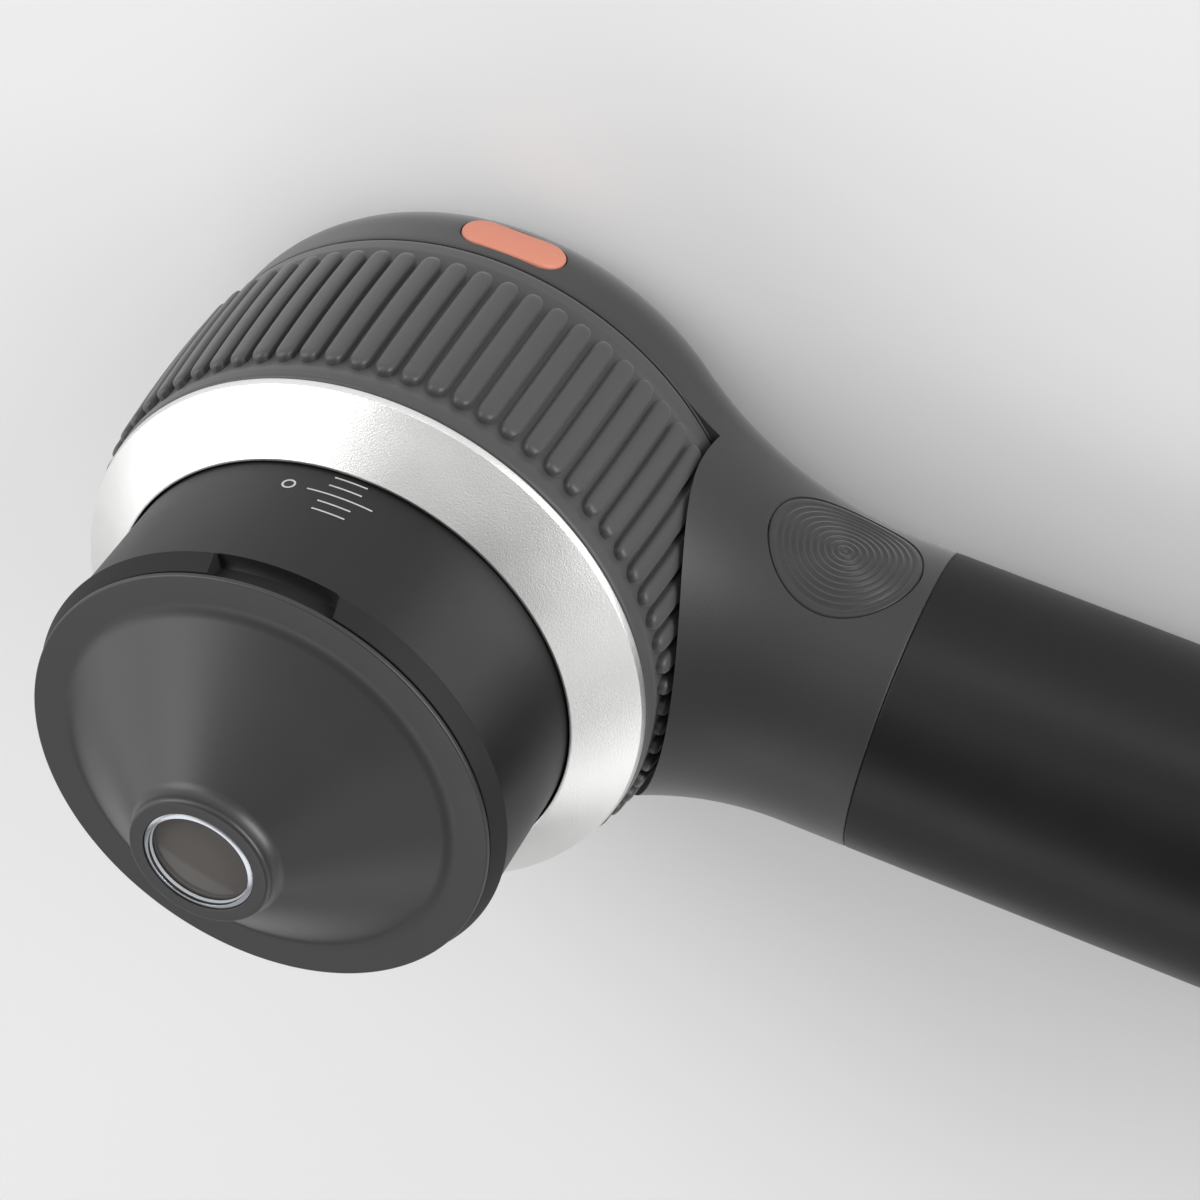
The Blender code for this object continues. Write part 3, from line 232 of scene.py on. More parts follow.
class ScopeColours(PropertyGroup):
    """Colours of the finishes that show."""

    shell: colour("Shell", "Soft-touch housing and neck", (0.011, 0.011, 0.0111))
    handle: colour("Handle", "Black handle tube and its end", (0.002, 0.002, 0.002))
    grip: colour("Grip", "Ribbed dial", (0.036, 0.036, 0.0363))
    barrel: colour("Barrel", "Satin black barrel", (0.003, 0.003, 0.003))
    # The flange's colour goes with a dull, low-gloss finish so that the flange shows as a dark band: painted shade on
    # the barrel's own black metal.
    flange: colour("Flange", "Flange at the barrel's mouth", (0.012, 0.012, 0.0121))
    cone: colour("Cone", "Contact cone", (0.017, 0.017, 0.0171))
    trim: colour("Trim", "Bead-blasted trim ring", (0.74, 0.74, 0.73))
    bezel: colour("Window Ring", "Bright ring round the window", (0.42, 0.44, 0.47))
    window: colour("Window", "Glass of the contact window", (0.165, 0.152, 0.143))
    # Pale colour of the bevel over the window: a painted highlight, the crescent of light on the glass's edge.
    bevel: colour("Bevel", "Frosted bevel over the window", (0.4, 0.43, 0.45))
    orange: colour("Pill", "Pill buttons", (0.52, 0.19, 0.125))
    print: colour("Print", "Scale print", (0.40, 0.40, 0.40))
    floor: colour("Floor", "Studio floor", (0.80, 0.80, 0.80))


class ScopeStage(PropertyGroup):
    """Light levels of the stage."""

    left: amount("Left Light", "Power of the large panel on the left, in watts", 3.0)
    left_front: amount("Left Front Light", "Power of the panel at the front left, in watts", 2.2)
    fill: amount("Fill Light", "Power of the wide panel over the front, in watts", 0.5)
    front: amount("Front Light", "Power of the low strip along the handle, in watts", 0.9)
    corner: amount("Corner Light", "Power of the low panel at the front right, in watts", 5.2)
    right: amount("Right Light", "Power of the panel on the right, in watts", 0.45)
    back_right: amount("Back Right Light", "Power of the low panel at the back right, in watts", 0.65)
    back: amount("Back Light", "Power of the panel over the back, in watts", 1.0)
    back_low: amount("Low Back Light", "Power of the low panel behind the far side, in watts", 0.45)
    sky: amount("Surroundings", "Strength of the even light from all round", 0.26)


# Shape helpers


def rounded(corners, steps=5):
    """Points of a closed outline of (radius, height, rounding) corners."""
    points = []
    for i, (x, y, rounding) in enumerate(corners):
        here = Vector((x, y))
        before = (Vector(corners[i - 1][:2]) - here).normalized()
        after = (Vector(corners[(i + 1) % len(corners)][:2]) - here).normalized()
        if rounding <= 0:
            points.append((x, y))
            continue
        half = before.angle(after) / 2
        centre = here + (before + after).normalized() * (rounding / math.sin(half))
        start = here + before * (rounding / math.tan(half)) - centre
        end = here + after * (rounding / math.tan(half)) - centre
        first = math.atan2(start.y, start.x)
        sweep = (math.atan2(end.y, end.x) - first + math.pi) % (2 * math.pi) - math.pi
        for k in range(steps + 1):
            angle = first + sweep * k / steps
            points.append((centre.x + rounding * math.cos(angle), centre.y + rounding * math.sin(angle)))
    return points


def loft(rings, closed=False, caps=True):
    """A mesh through rings of as many points; a ring of one point closes an end."""
    mesh = bmesh.new()
    loops = [[mesh.verts.new(point) for point in ring] for ring in rings]
    pairs = list(zip(loops, loops[1:]))
    if closed:
        pairs.append((loops[-1], loops[0]))
    for ring, after in pairs:
        count = max(len(ring), len(after))
        for i in range(count):
            j = (i + 1) % count
            corners = [ring[i % len(ring)], ring[j % len(ring)], after[j % len(after)], after[i % len(after)]]
            unique = [corner for k, corner in enumerate(corners) if corner not in corners[:k]]
            if len(unique) > 2:
                mesh.faces.new(unique)
    if caps and not closed:
        for loop in (loops[0], loops[-1]):
            if len(loop) > 2:
                mesh.faces.new(loop)
    return mesh


def circle(radius, z, segments):
    if radius < 1e-9:
        return [(0, 0, z)]
    turns = [2 * math.pi * i / segments for i in range(segments)]
    return [(radius * math.cos(angle), radius * math.sin(angle), z) for angle in turns]


def lathe(outline, segments=192):
    """Turns a closed outline of (radius, height) points about Z."""
    on_axis = outline[0][0] < 1e-9 and outline[-1][0] < 1e-9
    return loft([circle(r, z, segments) for r, z in outline], closed=not on_axis, caps=False)


def moved(mesh, matrix):
    bmesh.ops.transform(mesh, matrix=matrix, verts=mesh.verts)
    return mesh


def along_handle(mesh):
    """Lays a shape made along Z on the axis of the handle."""
    return moved(mesh, Matrix.Translation((0, 0, handle_z)) @ Matrix.Rotation(math.pi / 2, 4, "Y"))


def to_side(mesh, side):
    """Turns a shape made for the left side (1) round to the right side (-1)."""
    return moved(mesh, Matrix.Diagonal((1, side, 1, 1)))


def joined(*meshes):
    whole = bmesh.new()
    for mesh in meshes:
        data = bpy.data.meshes.new("shell")
        mesh.to_mesh(data)
        mesh.free()
        whole.from_mesh(data)
        bpy.data.meshes.remove(data)
    return whole


def stadium(long, wide, count=16):
    """A slot outline with round ends, long in x, that starts at its right end."""
    reach = (long - wide) / 2
    points = []
    for i in range(2 * count):
        angle = math.pi * (i + 0.5) / count
        offset = reach if math.cos(angle) > 0 else -reach
        points.append((offset + wide / 2 * math.cos(angle), wide / 2 * math.sin(angle)))
    return points


def piece(name, mesh, look, sharp=40):
    """Makes an object of a mesh about the optical axis, at the frame's place."""
    bmesh.ops.remove_doubles(mesh, verts=mesh.verts, dist=1e-7)
    bmesh.ops.translate(mesh, verts=mesh.verts, vec=(optical_x, 0, 0))
    bmesh.ops.recalc_face_normals(mesh, faces=mesh.faces)
    data = bpy.data.meshes.new(name)
    mesh.to_mesh(data)
    mesh.free()
    obj = bpy.data.objects.new(name, data)
    bpy.context.scene.collection.objects.link(obj)
    if look:
        data.materials.append(look)
    data.shade_smooth()
    data.set_sharp_from_angle(angle=math.radians(sharp))
    return obj


def evaluated(obj):
    """Swaps an object's mesh for the one that its modifiers make."""
    bpy.context.view_layer.update()
    made = bpy.data.meshes.new_from_object(obj.evaluated_get(bpy.context.evaluated_depsgraph_get()))
    if not made.polygons:
        raise RuntimeError(f"{obj.name} came out empty")
    old = obj.data
    obj.modifiers.clear()
    obj.data = made
    made.name = obj.name
    bpy.data.meshes.remove(old)


def combine(obj, operation, mesh, sharp=40):
    """Adds or takes away a shape, with clean shading afterwards."""
    helper = piece(f"{obj.name}.helper", mesh, None)
    step = obj.modifiers.new("combine", "BOOLEAN")
    step.operation = operation
    step.solver = "EXACT"
    step.object = helper
    evaluated(obj)
    unused = helper.data
    bpy.data.objects.remove(helper)
    bpy.data.meshes.remove(unused)
    clean = bmesh.new()
    clean.from_mesh(obj.data)
    bmesh.ops.remove_doubles(clean, verts=clean.verts, dist=1e-6)
    clean.to_mesh(obj.data)
    clean.free()
    obj.data.shade_smooth()
    obj.data.set_sharp_from_angle(angle=math.radians(sharp))


def ride(obj, body, slot, *nodes):
    """Hands a finished piece to its body, in place of the named nodes; its slot is not used."""
    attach(obj, body)
    if nodes:
        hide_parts(*nodes)


# Finishes


def finish(name, base, roughness, metallic=0.0, grain=0.0, grain_size=0.0002, mottle=0.06, turned=False, **sockets):
    """A surface whose tone and gloss vary a little, with fine grain or with turning marks about the axis."""
    found = bpy.data.materials.get(name)
    if found:
        return found
    look = bpy.data.materials.new(name)
    look.use_nodes = True
    look.diffuse_color = (*base, 1)
    nodes = look.node_tree.nodes
    links = look.node_tree.links
    shader = nodes["Principled BSDF"]
    shader.inputs["Metallic"].default_value = metallic
    for socket, value in sockets.items():
        shader.inputs[socket.replace("_", " ")].default_value = value
    place = nodes.new("ShaderNodeTexCoord")
    cloud = nodes.new("ShaderNodeTexNoise")
    cloud.inputs["Scale"].default_value = 160
    cloud.inputs["Detail"].default_value = 4
    links.new(place.outputs["Object"], cloud.inputs["Vector"])
    tone = nodes.new("ShaderNodeValToRGB")
    for stop, level in zip(tone.color_ramp.elements, (1 - mottle, 1 + mottle)):
        stop.color = (*(min(1.0, channel * level) for channel in base), 1)
    links.new(cloud.outputs["Fac"], tone.inputs["Fac"])
    links.new(tone.outputs["Color"], shader.inputs["Base Color"])
    gloss = nodes.new("ShaderNodeMapRange")
    gloss.inputs["To Min"].default_value = max(0.02, roughness - mottle)
    gloss.inputs["To Max"].default_value = min(1.0, roughness + mottle)
    links.new(cloud.outputs["Fac"], gloss.inputs["Value"])
    links.new(gloss.outputs["Result"], shader.inputs["Roughness"])
    if grain:
        fine = nodes.new("ShaderNodeTexNoise")
        fine.inputs["Scale"].default_value = 1 / grain_size
        fine.inputs["Detail"].default_value = 2
        links.new(place.outputs["Object"], fine.inputs["Vector"])
        relief = nodes.new("ShaderNodeBump")
        relief.inputs["Strength"].default_value = grain
        relief.inputs["Distance"].default_value = grain_size / 4
        links.new(fine.outputs["Fac"], relief.inputs["Height"])
        links.new(relief.outputs["Normal"], shader.inputs["Normal"])
    if turned:
        marks = nodes.new("ShaderNodeTangent")
        marks.direction_type = "RADIAL"
        marks.axis = "Z"
        links.new(marks.outputs["Tangent"], shader.inputs["Tangent"])
    return look


def soft_black(colours):
    return finish("Soft Touch Black", colours.shell, 0.5, grain=0.12, grain_size=0.00025, Sheen_Weight=0.26)


def handle_black(colours):
    return finish("Handle Black", colours.handle, 0.42, grain=0.06, grain_size=0.00025, Specular_IOR_Level=0.36)


def grip_black(colours):
    return finish("Grip Rubber", colours.grip, 0.46, grain=0.12, grain_size=0.00022, Sheen_Weight=0.2)


def satin_black(colours):
    """Black anodised metal whose turning marks stretch its highlights along the barrel."""
    marked = {"Anisotropic": 0.75, "Anisotropic_Rotation": 0.25}
    return finish("Satin Black", colours.barrel, 0.45, turned=True, **marked)


# A dull copy of the barrel's satin black for the flange: painted shade, with the gloss taken down so that the flange
# stays dark.
def flange_painted_shade(colours):
    return finish("Flange Black", colours.flange, 0.6, Specular_IOR_Level=0.2)


def cone_grey(colours):
    return finish("Cone Grey", colours.cone, 0.42, grain=0.06, grain_size=0.00015, Specular_IOR_Level=0.6)


def blasted_metal(colours):
    return finish("Blasted Aluminium", colours.trim, 0.36, 1.0, grain=0.5, grain_size=0.00012, mottle=0.08)


def bright_metal(colours):
    return finish("Bright Ring", colours.bezel, 0.2, 1.0, mottle=0.04)


def orange_plastic(colours):
    return finish("Orange Plastic", colours.orange, 0.45, grain=0.04)


def print_white(colours):
    return finish("Scale Print", colours.print, 0.6)


def window_glass(colours):
    return finish("Window Glass", colours.window, 0.05, mottle=0.02, Transmission_Weight=0.4, IOR=1.5)


# Pale matte ring at the glass's edge: a painted highlight that stands in for the crescent of light the glass's edge
# reflects.
def painted_highlight_edge(colours):
    return finish("Frosted Edge", colours.bevel, 0.5, mottle=0.03)


def lens_glass():
    return finish("Lens Glass", (0.62, 0.58, 0.55), 0.04, mottle=0.01, Transmission_Weight=0.85, IOR=1.5)


def black_metal():
    return finish("Black Metal", (0.02, 0.02, 0.02), 0.4, grain=0.05)


def nickel():
    return finish("Nickel", (0.62, 0.6, 0.57), 0.3, 1.0)


def slot_finishes(colours):
    """The finish of each of the frame's material slots."""
    return {
        "soft_black": soft_black(colours),
        "grip_black": grip_black(colours),
        "satin_black": satin_black(colours),
        "cone_grey": cone_grey(colours),
        "satin_aluminium": blasted_metal(colours),
        "orange": orange_plastic(colours),
        "glass": lens_glass(),
        "black_metal": black_metal(),
        "nickel": nickel(),
        "brass": finish("Brass", (0.68, 0.5, 0.22), 0.35, 1.0, grain=0.05),
        "steel": finish("Steel", (0.55, 0.55, 0.55), 0.35, 1.0, grain=0.05),
        "rubber": finish("Seal Rubber", (0.02, 0.02, 0.02), 0.75, grain=0.1),
        "board_green": finish("Board Green", (0.04, 0.17, 0.08), 0.45, grain=0.05),
        "lamp_white": finish("Lamp White", (0.82, 0.81, 0.74), 0.4),
        "film_grey": finish("Polariser Film", (0.2, 0.21, 0.22), 0.15, mottle=0.02),
        "flex_amber": finish("Flexible Circuit", (0.5, 0.26, 0.06), 0.4),
        "cell_wrap": finish("Cell Wrap", (0.08, 0.2, 0.45), 0.4),
        "switch_black": finish("Switch Black", (0.05, 0.05, 0.05), 0.5, grain=0.05),
    }


# Outlines of the head and the neck


def crown(shell, z):
    """Radius of the barrel-shaped side of the head at a height."""
    return head_radius - shell.crown_arc + math.sqrt(shell.crown_arc**2 - (z - handle_z) ** 2)


def side_radius(shell, z):
    """Radius of the head at a height, with the rounding to its back."""
    if z >= shell.back_fillet:
        return crown(shell, z)
    drop = shell.back_fillet - z
    return crown(shell, shell.back_fillet) - shell.back_fillet + math.sqrt(shell.back_fillet**2 - drop**2)


def spread(low, high, count):
    return [low + (high - low) * i / count for i in range(count + 1)]


def flare(shell, z):
    """Radius of the head, half width of the handle and end of the hollow side between them, at a height."""
    head = side_radius(shell, z)
    half = math.sqrt(max(0.0, handle_radius**2 - (z - handle_z) ** 2))
    return head, half, math.sqrt((head + shell.flare_arc) ** 2 - (half + shell.flare_arc) ** 2)


def flank(shell, x, z):
    """Half width of the neck at a place: level arcs below the handle's axis and round sections above it."""
    rise = max(0.0, z - handle_z)
    head, half, end = flare(shell, min(z, handle_z))
    if x >= end:
        width = half
    elif x > end * head / (head + shell.flare_arc):
        width = half + shell.flare_arc - math.sqrt(shell.flare_arc**2 - (end - x) ** 2)
    else:
        width = math.sqrt((head - shell.sink) ** 2 - x**2)
    return math.sqrt(max(0.0, width**2 - rise**2))


def neck_section(shell, x, sides=72):
    """Section of the neck at x, from its crest round to its flat back and up again."""
    crest = flank(shell, x, handle_z)
    root = handle_radius - shell.back_rise
    half = [(crest * math.sin(a), handle_z + crest * math.cos(a)) for a in spread(0, math.pi / 2, sides // 2)]
    for a in spread(math.pi / 2, math.pi, sides // 2)[1:]:
        z = handle_z + root * math.cos(a)
        half.append((flank(shell, x, z), z))
    return [(x, y, z) for y, z in half] + [(x, -y, z) for y, z in reversed(half[1:])]


def handle_ring(x, radius, sides=72):
    """A round section of the handle with as many points as a section of the neck."""
    half = [(radius * math.sin(a), handle_z + radius * math.cos(a)) for a in spread(0, math.pi, sides)]
    return [(x, y, z) for y, z in half] + [(x, -y, z) for y, z in reversed(half[1:])]


def neck_form(shell):
    """The flared neck with a soft edge at the handle seam, and the spigot beyond it."""
    seam = sleeve_start - shell.seam
    root = eyepiece_opening + 0.0008
    end = flare(shell, shell.back_rise)[2]
    rings = [neck_section(shell, x) for x in spread(root, end, 64)]
    for a in spread(0, math.pi / 2, 4):
        inset = shell.edge * (1 - math.cos(a))
        rings.append(handle_ring(seam - shell.edge * (1 - math.sin(a)), handle_radius - inset))
    spigot = handle_radius - shell.handle_wall - 0.0003
    rings += [handle_ring(x, spigot) for x in (seam, seam + shell.spigot_length)]
    return loft(rings)


class SCOPE_OT_housing(Operator):
    """Make the rear housing with its flared neck"""

    bl_idname = "scope.make_housing"
    bl_label = "Rear Housing"

    def execute(self, context):
        shell = context.scene.scope_shell
        buttons = context.scene.scope_buttons
        seam = dial_low.z - shell.seam
        opening = eyepiece_opening
        bore = head_radius - shell.wall
        back = crown(shell, shell.back_fillet)
        fillet = [
            (back - shell.back_fillet * (1 - math.sin(a)), shell.back_fillet * (1 - math.cos(a)))
            for a in spread(0, math.pi / 2, 14)
        ]
        side = [(crown(shell, z), z) for z in spread(shell.back_fillet, seam - shell.edge, 4)[1:]]
        rim = [
            (crown(shell, seam) - shell.edge * (1 - math.cos(a)), seam - shell.edge * (1 - math.sin(a)))
            for a in spread(0, math.pi / 2, 4)[1:]
        ]
        slope = shell.inner_slope
        inside = [(bore, seam), (bore, shell.floor + 1.2 * slope), (bore - slope, shell.floor)]
        inside += [(opening, shell.floor), (opening, 0)]
        look = soft_black(context.scene.scope_colours)
        body = piece("housing_shell", lathe(fillet + side + rim + inside, 256), look)
        combine(body, "UNION", self.neck(shell, seam))
        combine(body, "DIFFERENCE", self.hollow(shell))
        combine(body, "DIFFERENCE", self.passage(shell, bore))
        combine(body, "UNION", self.pillars(shell, seam))
        holes = [self.power_hole(shell, buttons, side) for side in (1, -1)]
        holes += [self.boost_hole(buttons, bore, side) for side in (1, -1)]
        combine(body, "DIFFERENCE", joined(*holes))
        ride(body, "housing", "soft_black", "rear_housing")
        return {"FINISHED"}

    def neck(self, shell, seam):
        """The neck without what lies in the bowl or in the dial's pocket."""
        form = piece("neck", neck_form(shell), None)
        room = rib_crest - head_radius + shell.pocket_gap
        low = seam - 0.0001
        inner = [(side_radius(shell, z) - shell.wall / 2, z) for z in spread(shell.floor / 2, low, 16)]
        wall = [(crown(shell, z) + room, z) for z in spread(low, dial_high.z, 12)]
        top = 2 * dial_high.z
        outline = [(0, shell.floor / 2)] + inner + wall
        core = lathe(outline + [(wall[-1][0], top), (0, top)], 240)
        combine(form, "DIFFERENCE", moved(core, Matrix.Rotation(math.radians(0.4), 4, "Z")))
        made = bmesh.new()
        made.from_mesh(form.data)
        bmesh.ops.translate(made, verts=made.verts, vec=(-optical_x, 0, 0))
        bpy.data.objects.remove(form)
        return made

    def hollow(self, shell):
        start = rib_crest + shell.pocket_gap + shell.neck_wall
        seam = sleeve_start - shell.seam
        bore = handle_radius - shell.handle_wall - 0.0003 - shell.spigot_wall
        end = seam + shell.spigot_length + shell.neck_wall
        step = seam - shell.neck_wall
        outline = [(0, start), (shell.neck_bore, start), (shell.neck_bore, step), (bore, step), (bore, end), (0, end)]
        return along_handle(lathe(outline, 96))

    def passage(self, shell, bore):
        """Slot through which the flexible circuit enters the neck."""
        flex_low, flex_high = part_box("main_flex")
        half = (flex_high.y - flex_low.y) / 2 + 0.0013
        middle = flex_low.z
        low = Vector((bore - shell.wall, -half, middle - 0.0013))
        high = Vector((rib_crest + shell.pocket_gap + 2 * shell.neck_wall, half, middle + 0.0013))
        mesh = bmesh.new()
        bmesh.ops.create_cube(mesh, size=1)
        return moved(mesh, Matrix.Translation((low + high) / 2) @ Matrix.Diagonal((*(high - low), 1)))

    def pillars(self, shell, seam):
        screw_low, screw_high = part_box("sleeve_screw_1")
        middle = (screw_low + screw_high) / 2
        reach = math.hypot(middle.x - optical_x, middle.y)
        top = seam + 0.0003
        outline = [(0, screw_low.z - 0.0006), (0.0011, screw_low.z - 0.0006), (0.0011, top), (0.0017, top)]
        outline += [(0.0017, shell.floor / 2), (0, shell.floor / 2)]
        posts = []
        for i in range(shell.pillar_count):
            spin = Matrix.Rotation(math.pi / 4 + 2 * math.pi * i / shell.pillar_count, 4, "Z")
            posts.append(moved(lathe(outline, 32), spin @ Matrix.Translation((reach, 0, 0))))
        return joined(*posts)

    def power_hole(self, shell, buttons, side):
        rings = []
        for y in (power_floor - 0.0016, 2 * handle_radius):
            ring = circle(power_radius + buttons.gap, y, 120)
            rings.append([(x + power_x, y, z + handle_z) for x, z, y in ring])
        return to_side(loft(rings), side)

    def boost_hole(self, buttons, bore, side):
        slot = stadium(buttons.boost_length + 2 * buttons.gap, buttons.boost_width + 2 * buttons.gap, 24)
        rings = [[(x, y, z + boost_z) for x, z in slot] for y in (bore - 0.0016, 2 * head_radius)]
        return to_side(loft(rings), side)


def tree(name, *inputs):
    """A geometry tree with named inputs, its input node and its output node."""
    group = bpy.data.node_groups.new(name, "GeometryNodeTree")
    for label, kind in inputs:
        group.interface.new_socket(label, in_out="INPUT", socket_type=f"NodeSocket{kind}")
    group.interface.new_socket("Geometry", in_out="OUTPUT", socket_type="NodeSocketGeometry")
    return group, group.nodes.new("NodeGroupInput"), group.nodes.new("NodeGroupOutput")


def add(group, kind, *links, **values):
    """A node whose inputs are linked by index and whose other inputs are set by index."""
    node = group.nodes.new(kind)
    for index, source in links:
        group.links.new(source, node.inputs[index])
    for key, value in values.items():
        if key.startswith("at"):
            node.inputs[int(key[2:])].default_value = value
        else:
            setattr(node, key, value)
    return node


def grown(name, group, look, **values):
    """An object whose mesh a geometry tree makes from the given inputs."""
    obj = bpy.data.objects.new(name, bpy.data.meshes.new(name))
    bpy.context.scene.collection.objects.link(obj)
    step = obj.modifiers.new("grow", "NODES")
    step.node_group = group
    for item in group.interface.items_tree:
        if item.in_out == "INPUT":
            step[item.identifier] = look if item.name == "Material" else values[item.name]
    evaluated(obj)
    obj.data.shade_smooth()
    obj.data.set_sharp_from_angle(angle=math.radians(40))
    return obj


def close_tree(group, geometry, outside, sink):
    """Makes instances real, gives them their material and ends the tree."""
    real = add(group, "GeometryNodeRealizeInstances", (0, geometry))
    painted = add(group, "GeometryNodeSetMaterial", (0, real.outputs[0]), (2, outside.outputs["Material"]))
    group.links.new(painted.outputs[0], sink.inputs[0])


def ring_tree():
    """Copies of one shape at even angles about the optical axis."""
    group, outside, sink = tree(
        "Around The Axis", ("Shape", "Object"), ("Count", "Int"), ("Axis", "Float"), ("Material", "Material")
    )
    points = add(group, "GeometryNodePoints", (0, outside.outputs["Count"]))
    shape = add(group, "GeometryNodeObjectInfo", (0, outside.outputs["Shape"]))
    index = add(group, "GeometryNodeInputIndex")
    pitch = add(group, "ShaderNodeMath", (1, outside.outputs["Count"]), operation="DIVIDE", at0=2 * math.pi)
    spin = add(group, "ShaderNodeMath", (0, index.outputs[0]), (1, pitch.outputs[0]), operation="MULTIPLY")
    angles = add(group, "ShaderNodeCombineXYZ", (2, spin.outputs[0]))
    copies = add(
        group,
        "GeometryNodeInstanceOnPoints",
        (0, points.outputs[0]),
        (2, shape.outputs["Geometry"]),
        (5, angles.outputs[0]),
    )
    shift = add(group, "ShaderNodeCombineXYZ", (0, outside.outputs["Axis"]))
    placed = add(group, "GeometryNodeTransform", (0, copies.outputs[0]))
    group.links.new(shift.outputs[0], placed.inputs["Translation"])
    close_tree(group, placed.outputs[0], outside, sink)
    return group


class SCOPE_OT_dial(Operator):
    """Make the ribbed focus dial"""

    bl_idname = "scope.make_dial"
    bl_label = "Focus Dial"

    def execute(self, context):
        shell = context.scene.scope_shell
        dial = context.scene.scope_dial
        colours = context.scene.scope_colours
        look = grip_black(colours)
        bore = head_radius - dial.wall
        edge = 0.00022
        rear, front = dial_low.z, dial_high.z
        groove_rear = rear + dial.rib_rear * 0.7
        groove_front = front - dial.rib_front * 0.6
        outline = [(bore, front), (crown(shell, front) - edge, front)]
        outline += [(crown(shell, front - edge * k) - edge * (1 - k) ** 2, front - edge * k) for k in (0.4, 1)]
        for z in spread(front - 2 * edge, rear + 2 * edge, 48):
            inside = min(max(0.0, (z - groove_rear) / 0.0005), max(0.0, (groove_front - z) / 0.0005), 1.0)
            outline.append((crown(shell, z) - dial.groove * inside * inside * (3 - 2 * inside), z))
        outline += [(crown(shell, rear + edge * k) - edge * (1 - k) ** 2, rear + edge * k) for k in (1, 0.4)]
        outline += [(crown(shell, rear) - edge, rear), (bore, rear)]
        ring = piece("dial_ring", lathe(outline, 288), look)
        ride(ring, "dial", "grip_black", "focus_dial")
        rib = piece("rib", self.rib(shell, dial), None)
        rib.data.transform(Matrix.Translation((-optical_x, 0, 0)))
        ribs = grown("dial_ribs", ring_tree(), look, Shape=rib, Count=dial.rib_count, Axis=optical_x)
        bpy.data.objects.remove(rib)
        ride(ribs, "dial", "grip_black")
        return {"FINISHED"}

    def rib(self, shell, dial):
        """One rib: a long pill with a flat top and soft sides."""
        low = dial_low.z + dial.rib_rear
        high = dial_high.z - dial.rib_front
        half = math.pi / dial.rib_count * dial.rib_share
        rise = rib_crest - head_radius
        across = (-1, -0.97, -0.9, -0.78, -0.6, -0.3, 0, 0.3, 0.6, 0.78, 0.9, 0.97, 1)
        ends = [dial.rib_end * k for k in (0, 0.02, 0.08, 0.18, 0.32, 0.5, 0.75, 1)]
        rows = [low + d for d in ends] + spread(low + dial.rib_end, high - dial.rib_end, 8)[1:-1]
        rows += [high - d for d in reversed(ends)]
        mesh = bmesh.new()
        grid = []
        for z in rows:
            along = min(z - low, high - z) / dial.rib_end
            width = half * math.sqrt(max(0.0, 1 - (1 - min(1, along)) ** 2.4))
            lift = math.sqrt(max(0.0, 1 - (1 - min(1, along * 1.6)) ** 3))
            line = []
            for u in across:
                height = rise * lift * math.sqrt(max(0.0, 1 - abs(u) ** 3.4))
                if abs(u) == 1 or lift == 0:
                    height -= 1.5 * dial.groove
                radius = crown(shell, z) + height
                line.append(mesh.verts.new((radius * math.cos(width * u), radius * math.sin(width * u), z)))
            grid.append(line)
        for line, after in zip(grid, grid[1:]):
            for i in range(len(across) - 1):
                mesh.faces.new((line[i], line[i + 1], after[i + 1], after[i]))
            mesh.faces.new((line[-1], line[0], after[0], after[-1]))
        return mesh


class SCOPE_OT_trim(Operator):
    """Make the bead-blasted trim ring"""

    bl_idname = "scope.make_trim"
    bl_label = "Trim Ring"

    def execute(self, context):
        shell = context.scene.scope_shell
        dial = context.scene.scope_dial
        colours = context.scene.scope_colours
        outer = (trim_high.y - trim_low.y) / 2
        bore = (barrel_high.y - barrel_low.y) / 2 - context.scene.scope_front.barrel_step + dial.trim_gap
        rear = dial_high.z + 0.0001
        tail = head_radius - dial.wall - 0.0003
        mouth = bore + dial.trim_lip
        slope = (outer - mouth) / (trim_high.z - rear - 0.0002)
        band = rear + dial.trim_band
        corners = [
            (bore, trim_high.z, 0.00005),
            (mouth, trim_high.z, 0.00012),
            (outer - slope * (dial.trim_band - 0.0002), band, 0.00012),
            (crown(shell, dial_high.z) + 0.00005, rear, 0.0001),
            (tail, rear, 0),
            (tail, trim_low.z, 0),
            (tail - 0.0004, trim_low.z, 0),
            (tail - 0.0004, rear, 0),
            (bore, rear, 0),
        ]
        ring = piece("trim_band", lathe(rounded(corners), 288), blasted_metal(colours))
        ride(ring, "dial", "satin_aluminium", "trim_ring")
        return {"FINISHED"}


